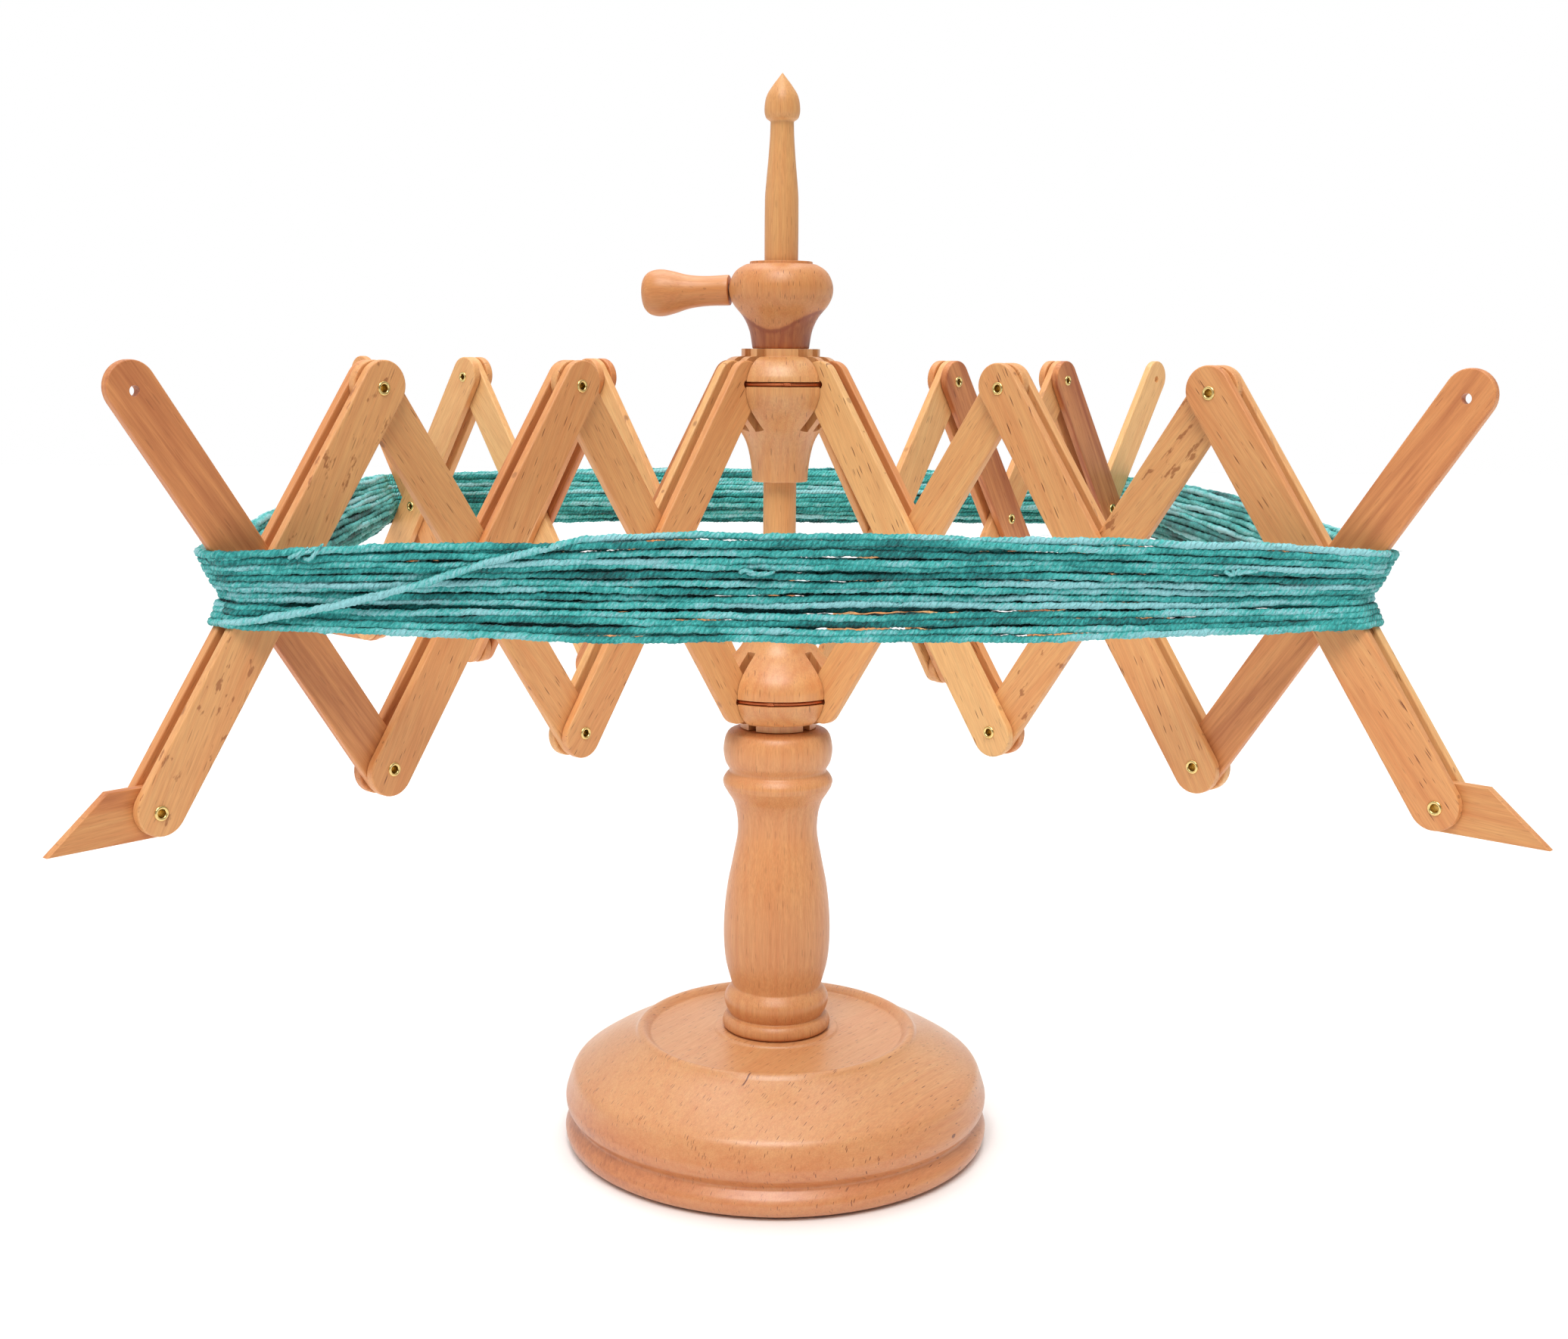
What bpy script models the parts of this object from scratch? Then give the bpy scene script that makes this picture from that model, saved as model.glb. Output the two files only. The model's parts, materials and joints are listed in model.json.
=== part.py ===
"""Tabletop umbrella yarn swift: four lazy-tongs arms of beech slats on a turned stand.

Metres, +Z up. The origin is on the axis at the underside of the base. The swift is at its working
spread, with a skein of yarn held in the outermost crossings of the four arms. Each arm lies in a
vertical radial plane. At every stage a single slat climbs outwards between a pair of slats that
runs downwards. Heights that start with Z_ are above the table.
"""

import math

import bpy
from mathutils import Matrix, Vector

# Slats and their lazy-tongs geometry
SLAT_SPAN = 0.200  # between a slat's end pivots
SLAT_WIDTH = 0.0215
SLAT_THICK = 0.0045
SLAT_END = 0.0123  # wood past each end pivot
LAST_PAIR_END = 0.0095  # past the pivot of the stop, where the slats are cut shorter
SLAT_PITCH = math.radians(55.9)  # from the horizontal, at the working spread
LAYER_GAP = 0.00035  # between neighbouring slats of a pivot
PIVOT_HOLE_R = 0.0021
ARM_COUNT = 4
STAGE_COUNT = 3
STOP_CORNER = 0.0195  # from the stop's pivot to where its top edge ends
STOP_TIP = 0.0455
FIRST_ARM_TURN = math.radians(47.6)  # arm1 from +X, anticlockwise seen from above

# Stand
FIT_GAP = 0.0003  # between fixed pieces that meet
Z_BASE_TOP = 0.0619  # the flat ring that the column stands on
Z_COLUMN_FOOT = Z_BASE_TOP + FIT_GAP
Z_COLUMN_TOP = 0.2310
TENON_R = 0.0120
TENON_LENGTH = 0.0252
SHAFT_R = 0.0087
SHAFT_SOCKET_R = 0.0090
Z_SOCKET_FLOOR = 0.1880
Z_SHAFT_FOOT = 0.1885
SCREW_HEAD_R = 0.0052
SCREW_SHANK_R = 0.0024
SCREW_HOLE_R = 0.0027
Z_SCREW_TIP = 0.0520

# Hubs: heights are measured from the plane of the wire, towards the rim
HUB_BORE_R = 0.0093
HUB_RIM_R = 0.0206
HUB_RIM_TOP = 0.0180
HUB_NECK_END = -0.0512
WIRE_RING_R = 0.0332  # the slats' pivot circle
WIRE_R = 0.0008
WIRE_GROOVE_R = 0.0319
WIRE_GROOVE_HALF = 0.0013
SLOT_HALF_WIDTH = 0.0027
SLOT_FLOOR_R = 0.0150
SLOT_FLOOR_END = -0.0080  # from here on the floor slants out through the neck's side
SLOT_END_R = 0.0220
SLOT_END = -0.0270
SLOT_CUT_R = 0.0450  # the cutter runs out past the bulb and, by the overrun, past the rim
SLOT_CUT_OVERRUN = 0.0010
Z_LOWER_WIRE = 0.2494
Z_UPPER_WIRE = Z_LOWER_WIRE + SLAT_SPAN * math.sin(SLAT_PITCH)

# Collar and its clamp screw
Z_COLLAR_FOOT = Z_UPPER_WIRE + HUB_RIM_TOP + FIT_GAP
STUD_HEIGHT = 0.0310  # above the collar's foot
STUD_R = 0.0030
STUD_HOLE_R = 0.0033
STUD_GRIP = 0.0135  # length of the stud inside the handle
STUD_BORE_LENGTH = 0.0620  # from the swift's axis out through one wall of the collar
STUD_TIP_GAP = 0.0004  # between the shaft and the tip of the stud
HANDLE_START = 0.0278  # from the swift's axis to the handle's near end
HANDLE_LENGTH = 0.0462
HANDLE_TURN = math.radians(170)  # from +X, anticlockwise seen from above
HANDLE_DROOP = math.radians(2.3)

# Yarn skein round the outermost crossings
YARN_INNER_R = 0.3390  # at the arms, inside of the bundle
YARN_OUTER_R = 0.3430
YARN_INNER_TURN = 0.0079  # sideways from the arm's plane to where the side starts
YARN_SIDE_THICK = 0.0045
YARN_HALF_HEIGHT = 0.0145
YARN_RISE = 0.0030  # of its middle above the crossings
YARN_CORNER_GAP = 0.00015

# Fineness of the faceted solids
BIG_STEPS = 36
MEDIUM_STEPS = 28
SMALL_STEPS = 16
END_STEPS = 6  # facets of a slat's round end
HOLE_SIDES = 6

HALF_SPAN = SLAT_SPAN / 2
HALF_STEP = HALF_SPAN * math.cos(SLAT_PITCH)  # radial distance from a pivot to the next crossing
LAYER_PITCH = SLAT_THICK + LAYER_GAP
WORLD_OF = {}  # each placed object's world matrix, by name


def clear_scene():
    for old in list(bpy.data.objects):
        bpy.data.objects.remove(old, do_unlink=True)


def new_collection(name):
    made = bpy.data.collections.new(name)
    bpy.context.scene.collection.children.link(made)
    return made


def new_material(name, colour, roughness, metallic=0.0):
    made = bpy.data.materials.new(name)
    made.use_nodes = True
    shader = made.node_tree.nodes["Principled BSDF"]
    shader.inputs["Base Color"].default_value = (*colour, 1.0)
    shader.inputs["Roughness"].default_value = roughness
    shader.inputs["Metallic"].default_value = metallic
    return made


clear_scene()
PARTS = new_collection("yarn_swift")
CUTTERS = new_collection("yarn_swift_cutters")
BEECH = new_material("beech", (0.72, 0.38, 0.18), 0.42)
PALE_BEECH = new_material("pale_beech", (0.78, 0.50, 0.26), 0.45)
COPPER = new_material("copper_wire", (0.72, 0.25, 0.10), 0.30, 1.0)
STEEL = new_material("steel", (0.55, 0.55, 0.57), 0.35, 1.0)
YARN = new_material("yarn", (0.05, 0.50, 0.50), 0.90)


def last_added(name, collection):
    """The primitive that was just added, named and moved to a collection."""
    made = bpy.context.object
    made.name = name
    for old in list(made.users_collection):
        old.objects.unlink(made)
    collection.objects.link(made)
    return made


def place(obj, world, parent=None):
    """Puts obj at a world matrix, parented or not."""
    base = WORLD_OF[parent.name].inverted() if parent else Matrix.Identity(4)
    obj.parent = parent
    obj.matrix_basis = base @ world
    WORLD_OF[obj.name] = world
    return obj


def add_object(name, data, material, world, parent=None):
    made = bpy.data.objects.new(name, data)
    PARTS.objects.link(made)
    if material and not data.materials:
        data.materials.append(material)
    return place(made, world, parent)


def add_empty(name, world, parent=None):
    """The axis of a moving body: its pieces are parented to it."""
    made = bpy.data.objects.new(name, None)
    made.empty_display_size = 0.01
    PARTS.objects.link(made)
    return place(made, world, parent)


def frame_matrix(origin, x_axis, z_axis):
    """A world matrix from its origin, X axis and Z axis."""
    x_axis = Vector(x_axis).normalized()
    z_axis = Vector(z_axis).normalized()
    y_axis = z_axis.cross(x_axis)
    turn = Matrix((x_axis, y_axis, z_axis)).transposed().to_4x4()
    return Matrix.Translation(Vector(origin)) @ turn


def turned(name, profile, steps, material, world, parent=None, closed=True):
    """A turned piece: a profile of (radius, height) points that runs down its outer side."""
    mesh = bpy.data.meshes.new(name)
    count = len(profile)
    edges = [(i, i + 1) for i in range(count - 1)]
    if closed:
        edges.append((count - 1, 0))
    mesh.from_pydata([(radius, 0.0, height) for radius, height in profile], edges, [])
    made = add_object(name, mesh, material, world, parent)
    screw = made.modifiers.new("turn", "SCREW")
    screw.steps = steps
    screw.render_steps = steps
    screw.use_merge_vertices = True
    screw.merge_threshold = 0.00001
    screw.use_smooth_shade = False
    return made


def cut_with(target, cutter):
    cutter.hide_render = True
    cutter.display_type = "WIRE"
    boolean = target.modifiers.new("cut", "BOOLEAN")
    boolean.operation = "DIFFERENCE"
    boolean.solver = "EXACT"
    boolean.object = cutter


def prism_cutter(name, outline, half_thickness, worlds):
    """One cutter made of equal prisms: the outline lies in local X and Z, anticlockwise from -Y."""
    mesh = bpy.data.meshes.new(name)
    count = len(outline)
    local = [Vector((x, y, z)) for y in (-half_thickness, half_thickness) for x, z in outline]
    points, faces = [], []
    for world in worlds:
        near = [len(points) + i for i in range(count)]
        far = [i + count for i in near]
        points += [world @ corner for corner in local]
        faces += [near, far[::-1]]
        faces += [(near[i], near[i - 1], far[i - 1], far[i]) for i in range(count)]
    mesh.from_pydata(points, [], faces)
    made = bpy.data.objects.new(name, mesh)
    CUTTERS.objects.link(made)
    return made


def outline_curve(name, loops, half_thickness, material):
    """A flat outline with holes, as a filled 2D curve with thickness."""
    curve = bpy.data.curves.new(name, "CURVE")
    curve.dimensions = "2D"
    curve.fill_mode = "BOTH"
    curve.extrude = half_thickness
    curve.materials.append(material)
    for loop in loops:
        spline = curve.splines.new("POLY")
        spline.points.add(len(loop) - 1)
        for point, (x, y) in zip(spline.points, loop):
            point.co = (x, y, 0.0, 1.0)
        spline.use_cyclic_u = True
    return curve


def arc(centre_x, centre_y, radius, start, end, steps):
    """Points on an arc, its ends included, angles in degrees."""
    angles = [math.radians(start + (end - start) * i / steps) for i in range(steps + 1)]
    return [(centre_x + radius * math.cos(a), centre_y + radius * math.sin(a)) for a in angles]


def hole(centre_x):
    return arc(centre_x, 0.0, PIVOT_HOLE_R, 0, 360 - 360 / HOLE_SIDES, HOLE_SIDES - 1)


# ---------------------------------------------------------------- stand


def base_profile():
    """Dish, raised bead, dome, side, groove and lower torus of the base, with its screw hole."""
    return [
        (TENON_R + FIT_GAP, Z_BASE_TOP),
        (0.0336, Z_BASE_TOP),
        (0.0346, 0.0608),
        (0.0640, 0.0592),
        (0.0715, 0.0602),
        (0.0748, 0.0622),
        (0.0780, 0.0621),
        (0.0806, 0.0580),
        (0.0840, 0.0548),
        (0.0960, 0.0492),
        (0.1060, 0.0433),
        (0.1118, 0.0385),
        (0.1153, 0.0325),
        (0.1167, 0.0272),
        (0.1155, 0.0212),
        (0.1132, 0.0178),
        (0.1131, 0.0148),
        (0.1158, 0.0117),
        (0.1169, 0.0080),
        (0.1152, 0.0032),
        (0.1100, 0.0000),
        (0.0065, 0.0000),
        (0.0065, 0.0046),
        (SCREW_HOLE_R, 0.0046),
        (SCREW_HOLE_R, Z_COLUMN_FOOT - TENON_LENGTH - FIT_GAP),
        (TENON_R + FIT_GAP, Z_COLUMN_FOOT - TENON_LENGTH - FIT_GAP),
    ]


def column_profile():
    """Socket, cap ring, sharp ring, waist, belly, two foot beads, tenon and screw hole."""
    z_tenon = Z_COLUMN_FOOT - TENON_LENGTH
    return [
        (0.0, Z_SOCKET_FLOOR),
        (SHAFT_SOCKET_R, Z_SOCKET_FLOOR),
        (SHAFT_SOCKET_R, Z_COLUMN_TOP),
        (0.0222, Z_COLUMN_TOP),
        (0.0272, 0.2284),
        (0.0295, 0.2205),
        (0.0287, 0.2130),
        (0.0264, 0.2085),
        (0.0268, 0.2060),
        (0.0295, 0.2018),
        (0.0288, 0.1988),
        (0.0243, 0.1908),
        (0.0223, 0.1838),
        (0.0217, 0.1732),
        (0.0241, 0.1591),
        (0.0275, 0.1410),
        (0.0292, 0.1200),
        (0.0282, 0.1015),
        (0.0248, 0.0858),
        (0.0276, 0.0825),
        (0.0286, 0.0783),
        (0.0267, 0.0702),
        (0.0294, 0.0655),
        (0.0294, Z_COLUMN_FOOT),
        (TENON_R, Z_COLUMN_FOOT),
        (TENON_R, z_tenon),
        (SCREW_HOLE_R, z_tenon),
        (SCREW_HOLE_R, Z_SCREW_TIP + 0.0010),
        (0.0, Z_SCREW_TIP + 0.0020),
    ]


def shaft_profile():
    """Round shaft that tapers to a neck under its acorn finial."""
    return [
        (0.0, 0.5726),
        (0.0018, 0.5703),
        (0.0049, 0.5663),
        (0.0081, 0.5610),
        (0.0092, 0.5546),
        (0.0084, 0.5506),
        (0.0059, 0.5478),
        (0.0069, 0.5300),
        (SHAFT_R, 0.5126),
        (SHAFT_R, Z_SHAFT_FOOT),
        (0.0, Z_SHAFT_FOOT),
    ]


def make_stand():
    still = Matrix.Identity(4)
    turned("base", base_profile(), BIG_STEPS, BEECH, still)
    turned("column", column_profile(), MEDIUM_STEPS, BEECH, still, closed=False)
    turned("centre_shaft", shaft_profile(), SMALL_STEPS, PALE_BEECH, still, closed=False)
    screw = [
        (0.0, Z_SCREW_TIP),
        (SCREW_SHANK_R, Z_SCREW_TIP - 0.0060),
        (SCREW_SHANK_R, 0.0041),
        (SCREW_HEAD_R, 0.0041),
        (SCREW_HEAD_R, 0.0012),
        (0.0, 0.0012),
    ]
    turned("base_screw", screw, SMALL_STEPS, STEEL, still, closed=False)


# ---------------------------------------------------------------- hubs


def hub_profile(side):
    """Rim, bulb with the wire's groove, and neck. side is 1 with the rim up and -1 with it down."""
    profile = [
        (HUB_BORE_R, HUB_RIM_TOP),
        (HUB_RIM_R, HUB_RIM_TOP),
        (HUB_RIM_R, 0.0142),
        (0.0262, 0.0134),
        (0.0310, 0.0095),
        (0.0340, 0.0045),
        (0.0347, WIRE_GROOVE_HALF),
        (WIRE_GROOVE_R, WIRE_GROOVE_HALF),
        (WIRE_GROOVE_R, -WIRE_GROOVE_HALF),
        (0.0349, -WIRE_GROOVE_HALF),
        (0.0346, -0.0060),
        (0.0322, -0.0120),
        (0.0262, -0.0190),
        (0.0208, -0.0245),
        (0.0177, -0.0300),
        (0.0160, -0.0370),
        (0.0146, HUB_NECK_END),
        (HUB_BORE_R, HUB_NECK_END),
    ]
    if side < 0:
        return [(radius, -height) for radius, height in reversed(profile)]
    return profile


def hub_slots(name, side, offsets):
    """Cutter for a hub's slots: offsets are sideways from each arm's plane."""
    top = HUB_RIM_TOP + SLOT_CUT_OVERRUN
    outline = [
        (SLOT_FLOOR_R, SLOT_FLOOR_END),
        (SLOT_END_R, SLOT_END),
        (SLOT_CUT_R, SLOT_END),
        (SLOT_CUT_R, top),
        (SLOT_FLOOR_R, top),
    ]
    if side < 0:
        outline = [(radius, -height) for radius, height in reversed(outline)]
    worlds = []
    for arm in range(ARM_COUNT):
        turn = Matrix.Rotation(FIRST_ARM_TURN + arm * math.tau / ARM_COUNT, 4, "Z")
        worlds += [turn @ Matrix.Translation((0.0, offset, 0.0)) for offset in offsets]
    return prism_cutter(name, outline, SLOT_HALF_WIDTH, worlds)


def make_hub(name, side, z_wire, offsets, parent):
    world = Matrix.Translation((0.0, 0.0, z_wire))
    hub = turned(f"{name}_hub", hub_profile(side), MEDIUM_STEPS, BEECH, world, parent)
    slots = hub_slots(f"{name}_hub_slots", side, offsets)
    slots.matrix_basis = world
    cut_with(hub, slots)
    bpy.ops.mesh.primitive_torus_add(
        major_segments=40, minor_segments=6, major_radius=WIRE_RING_R, minor_radius=WIRE_R
    )
    ring = last_added(f"{name}_wire_ring", PARTS)
    ring.data.materials.append(COPPER)
    place(ring, world, parent)


# ---------------------------------------------------------------- collar and clamp


def collar_profile():
    """Neck, belly, shoulder and top rim of the collar, heights from its foot."""
    return [
        (HUB_BORE_R, 0.0445),
        (0.0164, 0.0445),
        (0.0164, 0.0430),
        (0.0185, 0.0428),
        (0.0238, 0.0392),
        (0.0268, 0.0335),
        (0.0270, 0.0278),
        (0.0249, 0.0226),
        (0.0194, 0.0156),
        (0.0162, 0.0088),
        (0.0148, 0.0000),
        (HUB_BORE_R, 0.0000),
    ]


def handle_profile():
    """Handle from its blunt round end, at the top, down to the end that faces the collar."""
    return [
        (0.0, HANDLE_LENGTH),
        (0.0078, HANDLE_LENGTH - 0.0008),
        (0.0112, HANDLE_LENGTH - 0.0035),
        (0.0122, HANDLE_LENGTH - 0.0095),
        (0.0110, HANDLE_LENGTH - 0.0165),
        (0.0086, HANDLE_LENGTH - 0.0255),
        (0.0077, HANDLE_LENGTH - 0.0350),
        (0.0079, 0.0),
        (STUD_HOLE_R, 0.0),
        (STUD_HOLE_R, STUD_GRIP + 0.0006),
        (0.0, STUD_GRIP + 0.0006),
    ]


def make_collar(parent):
    world = Matrix.Translation((0.0, 0.0, Z_COLLAR_FOOT))
    pivot = add_empty("collar_axis", world, parent)
    collar = turned("collar", collar_profile(), MEDIUM_STEPS, BEECH, world, pivot)
    outwards = Matrix.Rotation(HANDLE_TURN, 4, "Z") @ Matrix.Rotation(HANDLE_DROOP, 4, "Y")
    stud_origin = world @ Matrix.Translation((0.0, 0.0, STUD_HEIGHT))
    axis = stud_origin @ outwards @ Matrix.Rotation(math.pi / 2, 4, "Y")
    bpy.ops.mesh.primitive_cylinder_add(
        vertices=SMALL_STEPS, radius=STUD_HOLE_R, depth=STUD_BORE_LENGTH
    )
    bore = last_added("collar_stud_bore", CUTTERS)
    bore.matrix_basis = axis @ Matrix.Translation((0.0, 0.0, STUD_BORE_LENGTH / 2))
    cut_with(collar, bore)
    clamp = add_empty("clamp_axis", axis, pivot)
    at_handle = axis @ Matrix.Translation((0.0, 0.0, HANDLE_START))
    turned("clamp_handle", handle_profile(), SMALL_STEPS, BEECH, at_handle, clamp, closed=False)
    near, far = SHAFT_R + STUD_TIP_GAP, HANDLE_START + STUD_GRIP
    stud = [(0.0, far), (STUD_R, far), (STUD_R, near), (0.0, near)]
    turned("clamp_stud", stud, SMALL_STEPS, STEEL, axis, clamp, closed=False)


# ---------------------------------------------------------------- arms


def slat_outline(outer_end):
    """Long outline with round ends, and its three pivot holes."""
    radius = SLAT_WIDTH / 2
    right = arc(HALF_SPAN + outer_end - radius, 0.0, radius, -90, 90, END_STEPS)
    left = arc(radius - SLAT_END - HALF_SPAN, 0.0, radius, 90, 270, END_STEPS)
    return [right + left, hole(-HALF_SPAN), hole(0.0), hole(HALF_SPAN)]


def stop_outline():
    """Stub of slat with one round end round its pivot and one slanting point."""
    half = SLAT_WIDTH / 2
    point = [(STOP_TIP, -half), (STOP_CORNER, half)]
    return [arc(0.0, 0.0, half, 90, 270, END_STEPS) + point, hole(0.0)]


def arm_frame(arm):
    """Unit vectors of an arm's plane: outwards, and sideways across its layers."""
    turn = FIRST_ARM_TURN + arm * math.tau / ARM_COUNT
    outwards = Vector((math.cos(turn), math.sin(turn), 0.0))
    return outwards, Vector((-math.sin(turn), math.cos(turn), 0.0))


def arm_point(arm, steps, upper_share):
    """A pivot: steps of HALF_STEP out from the wire ring, at a share of the height between hubs."""
    outwards, _ = arm_frame(arm)
    height = Z_LOWER_WIRE + upper_share * (Z_UPPER_WIRE - Z_LOWER_WIRE)
    return outwards * (WIRE_RING_R + steps * HALF_STEP) + Vector((0.0, 0.0, height))


def slat_matrix(arm, stage, rising, layer):
    """Where a slat's middle is, its X along the slat and its Z across the layers."""
    outwards, sideways = arm_frame(arm)
    sign = 1.0 if rising else -1.0
    along = outwards * math.cos(SLAT_PITCH) + Vector((0.0, 0.0, sign * math.sin(SLAT_PITCH)))
    middle = arm_point(arm, 2 * stage + 1, 0.5) + sideways * (layer * LAYER_PITCH)
    return frame_matrix(middle, along, sideways)


def make_arm(arm, slat, last_pair_slat, stop, lower_hub):
    """One arm: each slat body is parented to the pivot that carries it."""
    label = f"arm{arm + 1}"
    _, sideways = arm_frame(arm)
    carrier = lower_hub
    for stage in range(STAGE_COUNT):
        first = stage == 0
        number = stage + 1
        if first:
            single_at, single_carrier = arm_point(arm, 0, 0.0), lower_hub
            axis = frame_matrix(single_at, (0, 0, 1), sideways)
            carrier = add_empty(f"{label}_single{number}_axis", axis, single_carrier)
            single_axis = carrier
            pair_at = arm_point(arm, 1, 0.5)
        else:
            pair_at = arm_point(arm, 2 * stage, 1.0)
        axis = frame_matrix(pair_at, (0, 0, 1), sideways)
        pair_axis = add_empty(f"{label}_pair{number}_axis", axis, carrier)
        if not first:
            axis = frame_matrix(arm_point(arm, 2 * stage + 1, 0.5), (0, 0, 1), sideways)
            single_axis = add_empty(f"{label}_single{number}_axis", axis, pair_axis)
        pair_slat = last_pair_slat if number == STAGE_COUNT else slat
        for side, layer in (("left", 1), ("right", -1)):
            world = slat_matrix(arm, stage, False, layer)
            add_object(f"{label}_pair{number}_{side}", pair_slat, None, world, pair_axis)
        world = slat_matrix(arm, stage, True, 0)
        add_object(f"{label}_single{number}", slat, None, world, single_axis)
        carrier = single_axis
    stop_at = arm_point(arm, 2 * STAGE_COUNT, 0.0)
    outwards, sideways = arm_frame(arm)
    world = frame_matrix(stop_at, outwards, -sideways)
    stop_axis = add_empty(f"{label}_stop_axis", world, pair_axis)
    add_object(f"{label}_stop", stop, None, world, stop_axis)


# ---------------------------------------------------------------- yarn


def yarn_outline():
    """Plan of one side of the skein, in a frame whose X points out through its middle."""
    diagonal = math.cos(math.tau / ARM_COUNT / 2)
    inner_x = (YARN_INNER_R + YARN_INNER_TURN) * diagonal
    outer_x = inner_x + YARN_SIDE_THICK
    outer_turn = outer_x / diagonal - YARN_OUTER_R

    def near_corner(radius, turn):
        return ((radius + turn) * diagonal, (radius - turn) * diagonal)

    half = [
        near_corner(YARN_INNER_R, YARN_CORNER_GAP),
        near_corner(YARN_INNER_R, YARN_INNER_TURN),
    ]
    outer = [near_corner(YARN_OUTER_R, outer_turn), near_corner(YARN_OUTER_R, YARN_CORNER_GAP)]
    mirrored_inner = [(x, -y) for x, y in reversed(half)]
    mirrored_outer = [(x, -y) for x, y in reversed(outer)]
    return [half + mirrored_inner + mirrored_outer + outer]


def make_yarn(parent):
    """Four sides of the skein, between neighbouring arms."""
    height = (Z_LOWER_WIRE + Z_UPPER_WIRE) / 2 + YARN_RISE
    side = outline_curve("yarn_side", yarn_outline(), YARN_HALF_HEIGHT, YARN)
    for number in range(ARM_COUNT):
        middle = FIRST_ARM_TURN + (number + 0.5) * math.tau / ARM_COUNT
        world = Matrix.Translation((0.0, 0.0, height)) @ Matrix.Rotation(middle, 4, "Z")
        add_object(f"yarn_side{number + 1}", side, None, world, parent)


# ---------------------------------------------------------------- assembly

make_stand()
LOWER_HUB = add_empty("lower_hub_axis", Matrix.Translation((0.0, 0.0, Z_LOWER_WIRE)))
UPPER_HUB = add_empty("upper_hub_axis", Matrix.Translation((0.0, 0.0, Z_UPPER_WIRE)), LOWER_HUB)
make_hub("lower", -1, Z_LOWER_WIRE, (0.0,), LOWER_HUB)
make_hub("upper", 1, Z_UPPER_WIRE, (-LAYER_PITCH, LAYER_PITCH), UPPER_HUB)
make_collar(UPPER_HUB)
SLAT = outline_curve("slat", slat_outline(SLAT_END), SLAT_THICK / 2, BEECH)
LAST_PAIR_SLAT = outline_curve("last_slat", slat_outline(LAST_PAIR_END), SLAT_THICK / 2, BEECH)
STOP = outline_curve("stop", stop_outline(), SLAT_THICK / 2, BEECH)
for arm_number in range(ARM_COUNT):
    make_arm(arm_number, SLAT, LAST_PAIR_SLAT, STOP, LOWER_HUB)
make_yarn(LOWER_HUB)
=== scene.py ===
"""Looks of a tabletop umbrella yarn swift: turned beech stand and hubs, lazy-tongs arms of beech slats
with brass eyelets, copper wire rings, and a skein of twisted turquoise yarn round the outermost crossings.

Metres, +Z up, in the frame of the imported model. Pivot places come from the model's joints.
"""

import json
import math

import bpy
import numpy as np
from mathutils import Matrix, Vector
from mathutils.geometry import tessellate_polygon


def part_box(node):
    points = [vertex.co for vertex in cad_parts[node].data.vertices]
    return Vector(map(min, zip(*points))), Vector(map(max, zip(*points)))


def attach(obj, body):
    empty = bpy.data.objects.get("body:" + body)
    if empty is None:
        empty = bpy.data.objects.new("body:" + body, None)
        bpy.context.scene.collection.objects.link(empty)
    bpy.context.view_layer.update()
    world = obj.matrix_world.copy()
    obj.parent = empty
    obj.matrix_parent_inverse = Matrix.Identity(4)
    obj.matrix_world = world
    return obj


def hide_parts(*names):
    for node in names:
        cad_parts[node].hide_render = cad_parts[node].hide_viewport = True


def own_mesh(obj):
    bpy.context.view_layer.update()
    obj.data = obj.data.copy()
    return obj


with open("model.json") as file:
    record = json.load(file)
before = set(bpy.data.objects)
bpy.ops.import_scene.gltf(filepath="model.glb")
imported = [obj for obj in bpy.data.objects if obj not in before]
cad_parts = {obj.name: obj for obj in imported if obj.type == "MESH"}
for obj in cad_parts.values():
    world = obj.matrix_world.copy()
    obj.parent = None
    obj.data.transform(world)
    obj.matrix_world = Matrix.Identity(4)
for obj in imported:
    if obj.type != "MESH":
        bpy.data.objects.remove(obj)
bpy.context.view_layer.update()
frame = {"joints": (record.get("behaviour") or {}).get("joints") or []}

# ---------------------------------------------------------------- the frame's own places

JOINTS = {joint["name"]: joint for joint in frame["joints"]}
ARM_COUNT = 4
STAGE_COUNT = 3


def joint_at(name):
    return Vector(JOINTS[name]["pos_m"])


RING_PIVOT = joint_at("fold")  # arm 1 on the lower wire ring
FIRST_CROSSING = joint_at("arm1_pair1_hinge")
RING_R = RING_PIVOT.xy.length
HALF_STEP = FIRST_CROSSING.xy.length - RING_R
Z_LOWER = RING_PIVOT.z
Z_MIDDLE = FIRST_CROSSING.z
Z_UPPER = 2 * Z_MIDDLE - Z_LOWER
FIRST_ARM_TURN = math.atan2(RING_PIVOT.y, RING_PIVOT.x)
SLAT_PITCH = math.atan2(Z_MIDDLE - Z_LOWER, HALF_STEP)
HALF_SPAN = math.hypot(HALF_STEP, Z_MIDDLE - Z_LOWER)

# Slats and eyelets
SLAT_WIDTH = 0.0215
SLAT_THICK = 0.0045
SLAT_END = 0.0123  # wood past each end pivot
LAST_PAIR_END = 0.0095
STOP_CORNER = 0.0195
STOP_TIP = 0.0455
LAYER_PITCH = 0.00485
PACK_HALF = LAYER_PITCH + SLAT_THICK / 2
SLAT_EDGE_ROUND = 0.0008
PIVOT_HOLE_R = 0.0021
FREE_HOLE_R = 0.0022
EYELET_R = 0.00315
EYELET_BORE_R = 0.0017

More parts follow.
